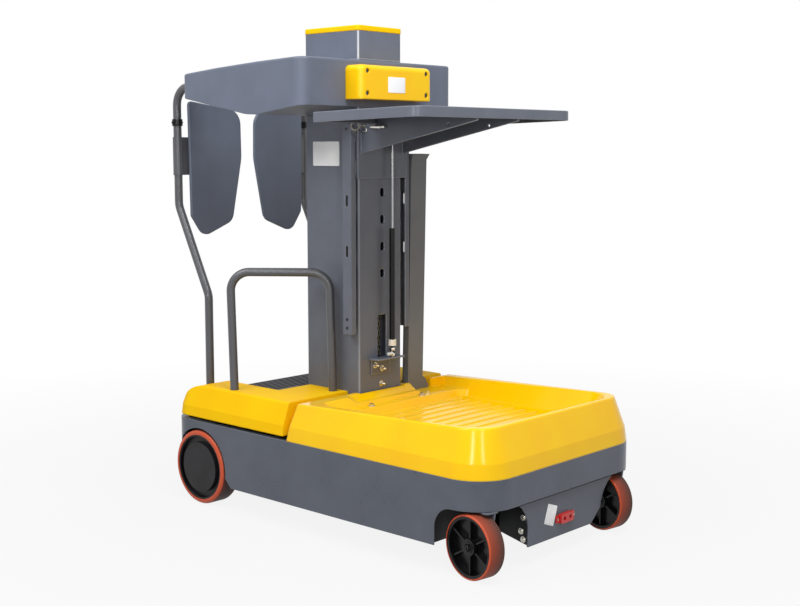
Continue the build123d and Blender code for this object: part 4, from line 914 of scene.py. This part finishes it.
class PICKER_OT_studio(PickerOperator, bpy.types.Operator):
    """Lay the pale floor, light it softly and set the camera"""
    bl_idname = "picker.studio"
    bl_label = "Studio"

    def execute(self, context):
        scene = context.scene
        scene.view_settings.view_transform = "Standard"
        add_floor(scene)
        add_world(scene)
        for lamp in LAMPS:
            add_lamp(*lamp)
        add_camera(scene)
        return {"FINISHED"}


def backdrop_rays(tree):
    """One for the rays that show the backdrop, seen straight, mirrored or through something, and zero for the rest."""
    path = add_node(tree, "ShaderNodeLightPath")
    seen = add_node(tree, "ShaderNodeMath", {0: path.outputs["Is Camera Ray"], 1: path.outputs["Is Glossy Ray"]},
                    operation="MAXIMUM")
    shown = add_node(tree, "ShaderNodeMath", {0: seen.outputs[0], 1: path.outputs["Is Transmission Ray"]},
                     operation="MAXIMUM")
    return shown.outputs[0]


WHITE = (1.0, 1.0, 1.0, 1.0)
FLOOR_REACH = 30.0
# Distances from the object between which the floor fades, and how white it is shown at each
FLOOR_FADE = (0.8, 3.2)
FLOOR_WHITE = (0.88, 1.0)


def add_floor(scene):
    """Square of pale floor, far wider than the view, that fades into the white backdrop away from the shadow."""
    reach = FLOOR_REACH
    points = np.array([[-reach, -reach, 0], [reach, -reach, 0], [reach, reach, 0], [-reach, reach, 0]])
    mesh = bpy.data.meshes.new("studio_floor")
    mesh.from_pydata(points.tolist(), [], [[0, 1, 2, 3]])
    material, tree = new_tree("matt_studio_floor")
    place = add_node(tree, "ShaderNodeTexCoord").outputs["Object"]
    away = add_node(tree, "ShaderNodeVectorMath", {0: place}, operation="LENGTH")
    fade = add_node(tree, "ShaderNodeMapRange", {"Value": away.outputs["Value"], "From Min": FLOOR_FADE[0],
                                                 "From Max": FLOOR_FADE[1], "To Min": FLOOR_WHITE[0],
                                                 "To Max": FLOOR_WHITE[1]})
    share = add_node(tree, "ShaderNodeMath", {0: backdrop_rays(tree), 1: fade.outputs["Result"]},
                     operation="MULTIPLY")
    matt = add_node(tree, "ShaderNodeBsdfDiffuse", {"Color": scene.picker_colours.floor})
    white = add_node(tree, "ShaderNodeEmission", {"Color": WHITE, "Strength": 1.0})
    both = add_node(tree, "ShaderNodeMixShader", {0: share.outputs[0], 1: matt.outputs["BSDF"],
                                                  2: white.outputs["Emission"]})
    add_node(tree, "ShaderNodeOutputMaterial", {"Surface": both.outputs["Shader"]})
    mesh.materials.append(material)
    floor = bpy.data.objects.new("studio_floor", mesh)
    scene.collection.objects.link(floor)


WORLD_LIGHT = 0.36


def add_world(scene):
    """Even studio light, seen as white by the camera and in reflections."""
    world = bpy.data.worlds.new("studio")
    world.use_nodes = True
    tree = world.node_tree
    tree.nodes.clear()
    light = add_node(tree, "ShaderNodeBackground", {"Color": WHITE, "Strength": WORLD_LIGHT})
    white = add_node(tree, "ShaderNodeBackground", {"Color": WHITE, "Strength": 1.0})
    both = add_node(tree, "ShaderNodeMixShader", {0: backdrop_rays(tree), 1: light.outputs[0], 2: white.outputs[0]})
    add_node(tree, "ShaderNodeOutputWorld", {"Surface": both.outputs[0]})
    scene.world = world


def add_lamp(name, at, target, size, power):
    """Soft box of a width and height that faces a point."""
    data = bpy.data.lights.new(name, "AREA")
    data.shape = "RECTANGLE"
    data.size, data.size_y = size
    data.energy = power
    lamp = bpy.data.objects.new(name, data)
    lamp.visible_camera = False
    back = np.array(at) - np.array(target)
    flat = math.hypot(back[0], back[1])
    lamp.location = at
    lamp.rotation_euler = (math.atan2(flat, back[2]), 0.0, math.atan2(back[0], -back[1]))
    bpy.context.scene.collection.objects.link(lamp)


# The photograph's camera: its place in metres, its turn and tilt in degrees, and its focal length in pixels
CAMERA_AT = (2.8138, -3.0066, 1.1865)
CAMERA_AZIMUTH = 42.6275
CAMERA_DOWN = 6.9303
FOCAL_PIXELS = 1268.9
PHOTO_WIDTH = 800


def add_camera(scene):
    """Camera at the photograph's place, looking a little down."""
    data = bpy.data.cameras.new("camera")
    data.sensor_width = 36.0
    data.lens = data.sensor_width * FOCAL_PIXELS / PHOTO_WIDTH
    camera = bpy.data.objects.new("camera", data)
    camera.location = CAMERA_AT
    camera.rotation_euler = (math.radians(90 - CAMERA_DOWN), 0.0, math.radians(CAMERA_AZIMUTH))
    scene.collection.objects.link(camera)
    scene.camera = camera


class PICKER_PT_sidebar(bpy.types.Panel):
    """Sidebar with the picker's pieces, sizes and colours"""
    bl_label = "Order Picker"
    bl_idname = "PICKER_PT_sidebar"
    bl_space_type = "VIEW_3D"
    bl_region_type = "UI"
    bl_category = "Picker"

    def draw(self, context):
        for step in STEPS:
            self.layout.operator(step.bl_idname)
        for group in (context.scene.picker_sizes, context.scene.picker_colours):
            for name in group.bl_rna.properties.keys():
                if name not in ("rna_type", "name"):
                    self.layout.prop(group, name)


STEPS = (
    PICKER_OT_node_finishes,
    PICKER_OT_tyre_finishes,
    PICKER_OT_lift_chains,
    PICKER_OT_blank_plates,
    PICKER_OT_wheel_trim,
    PICKER_OT_table_latch,
    PICKER_OT_spring_fittings,
    PICKER_OT_front_studs,
    PICKER_OT_studio,
)
CLASSES = (PickerColours, PickerSizes, *STEPS, PICKER_PT_sidebar)


def register():
    """Adds the classes and the two groups of settings."""
    for item in CLASSES:
        bpy.utils.register_class(item)
    bpy.types.Scene.picker_colours = PointerProperty(type=PickerColours)
    bpy.types.Scene.picker_sizes = PointerProperty(type=PickerSizes)


def unregister():
    """Takes the settings and the classes away again."""
    del bpy.types.Scene.picker_sizes
    del bpy.types.Scene.picker_colours
    for item in reversed(CLASSES):
        bpy.utils.unregister_class(item)


def main():
    """Builds the looks step by step."""
    register()
    for step in STEPS:
        family, name = step.bl_idname.split(".")
        getattr(getattr(bpy.ops, family), name)()


if __name__ == "__main__":
    main()
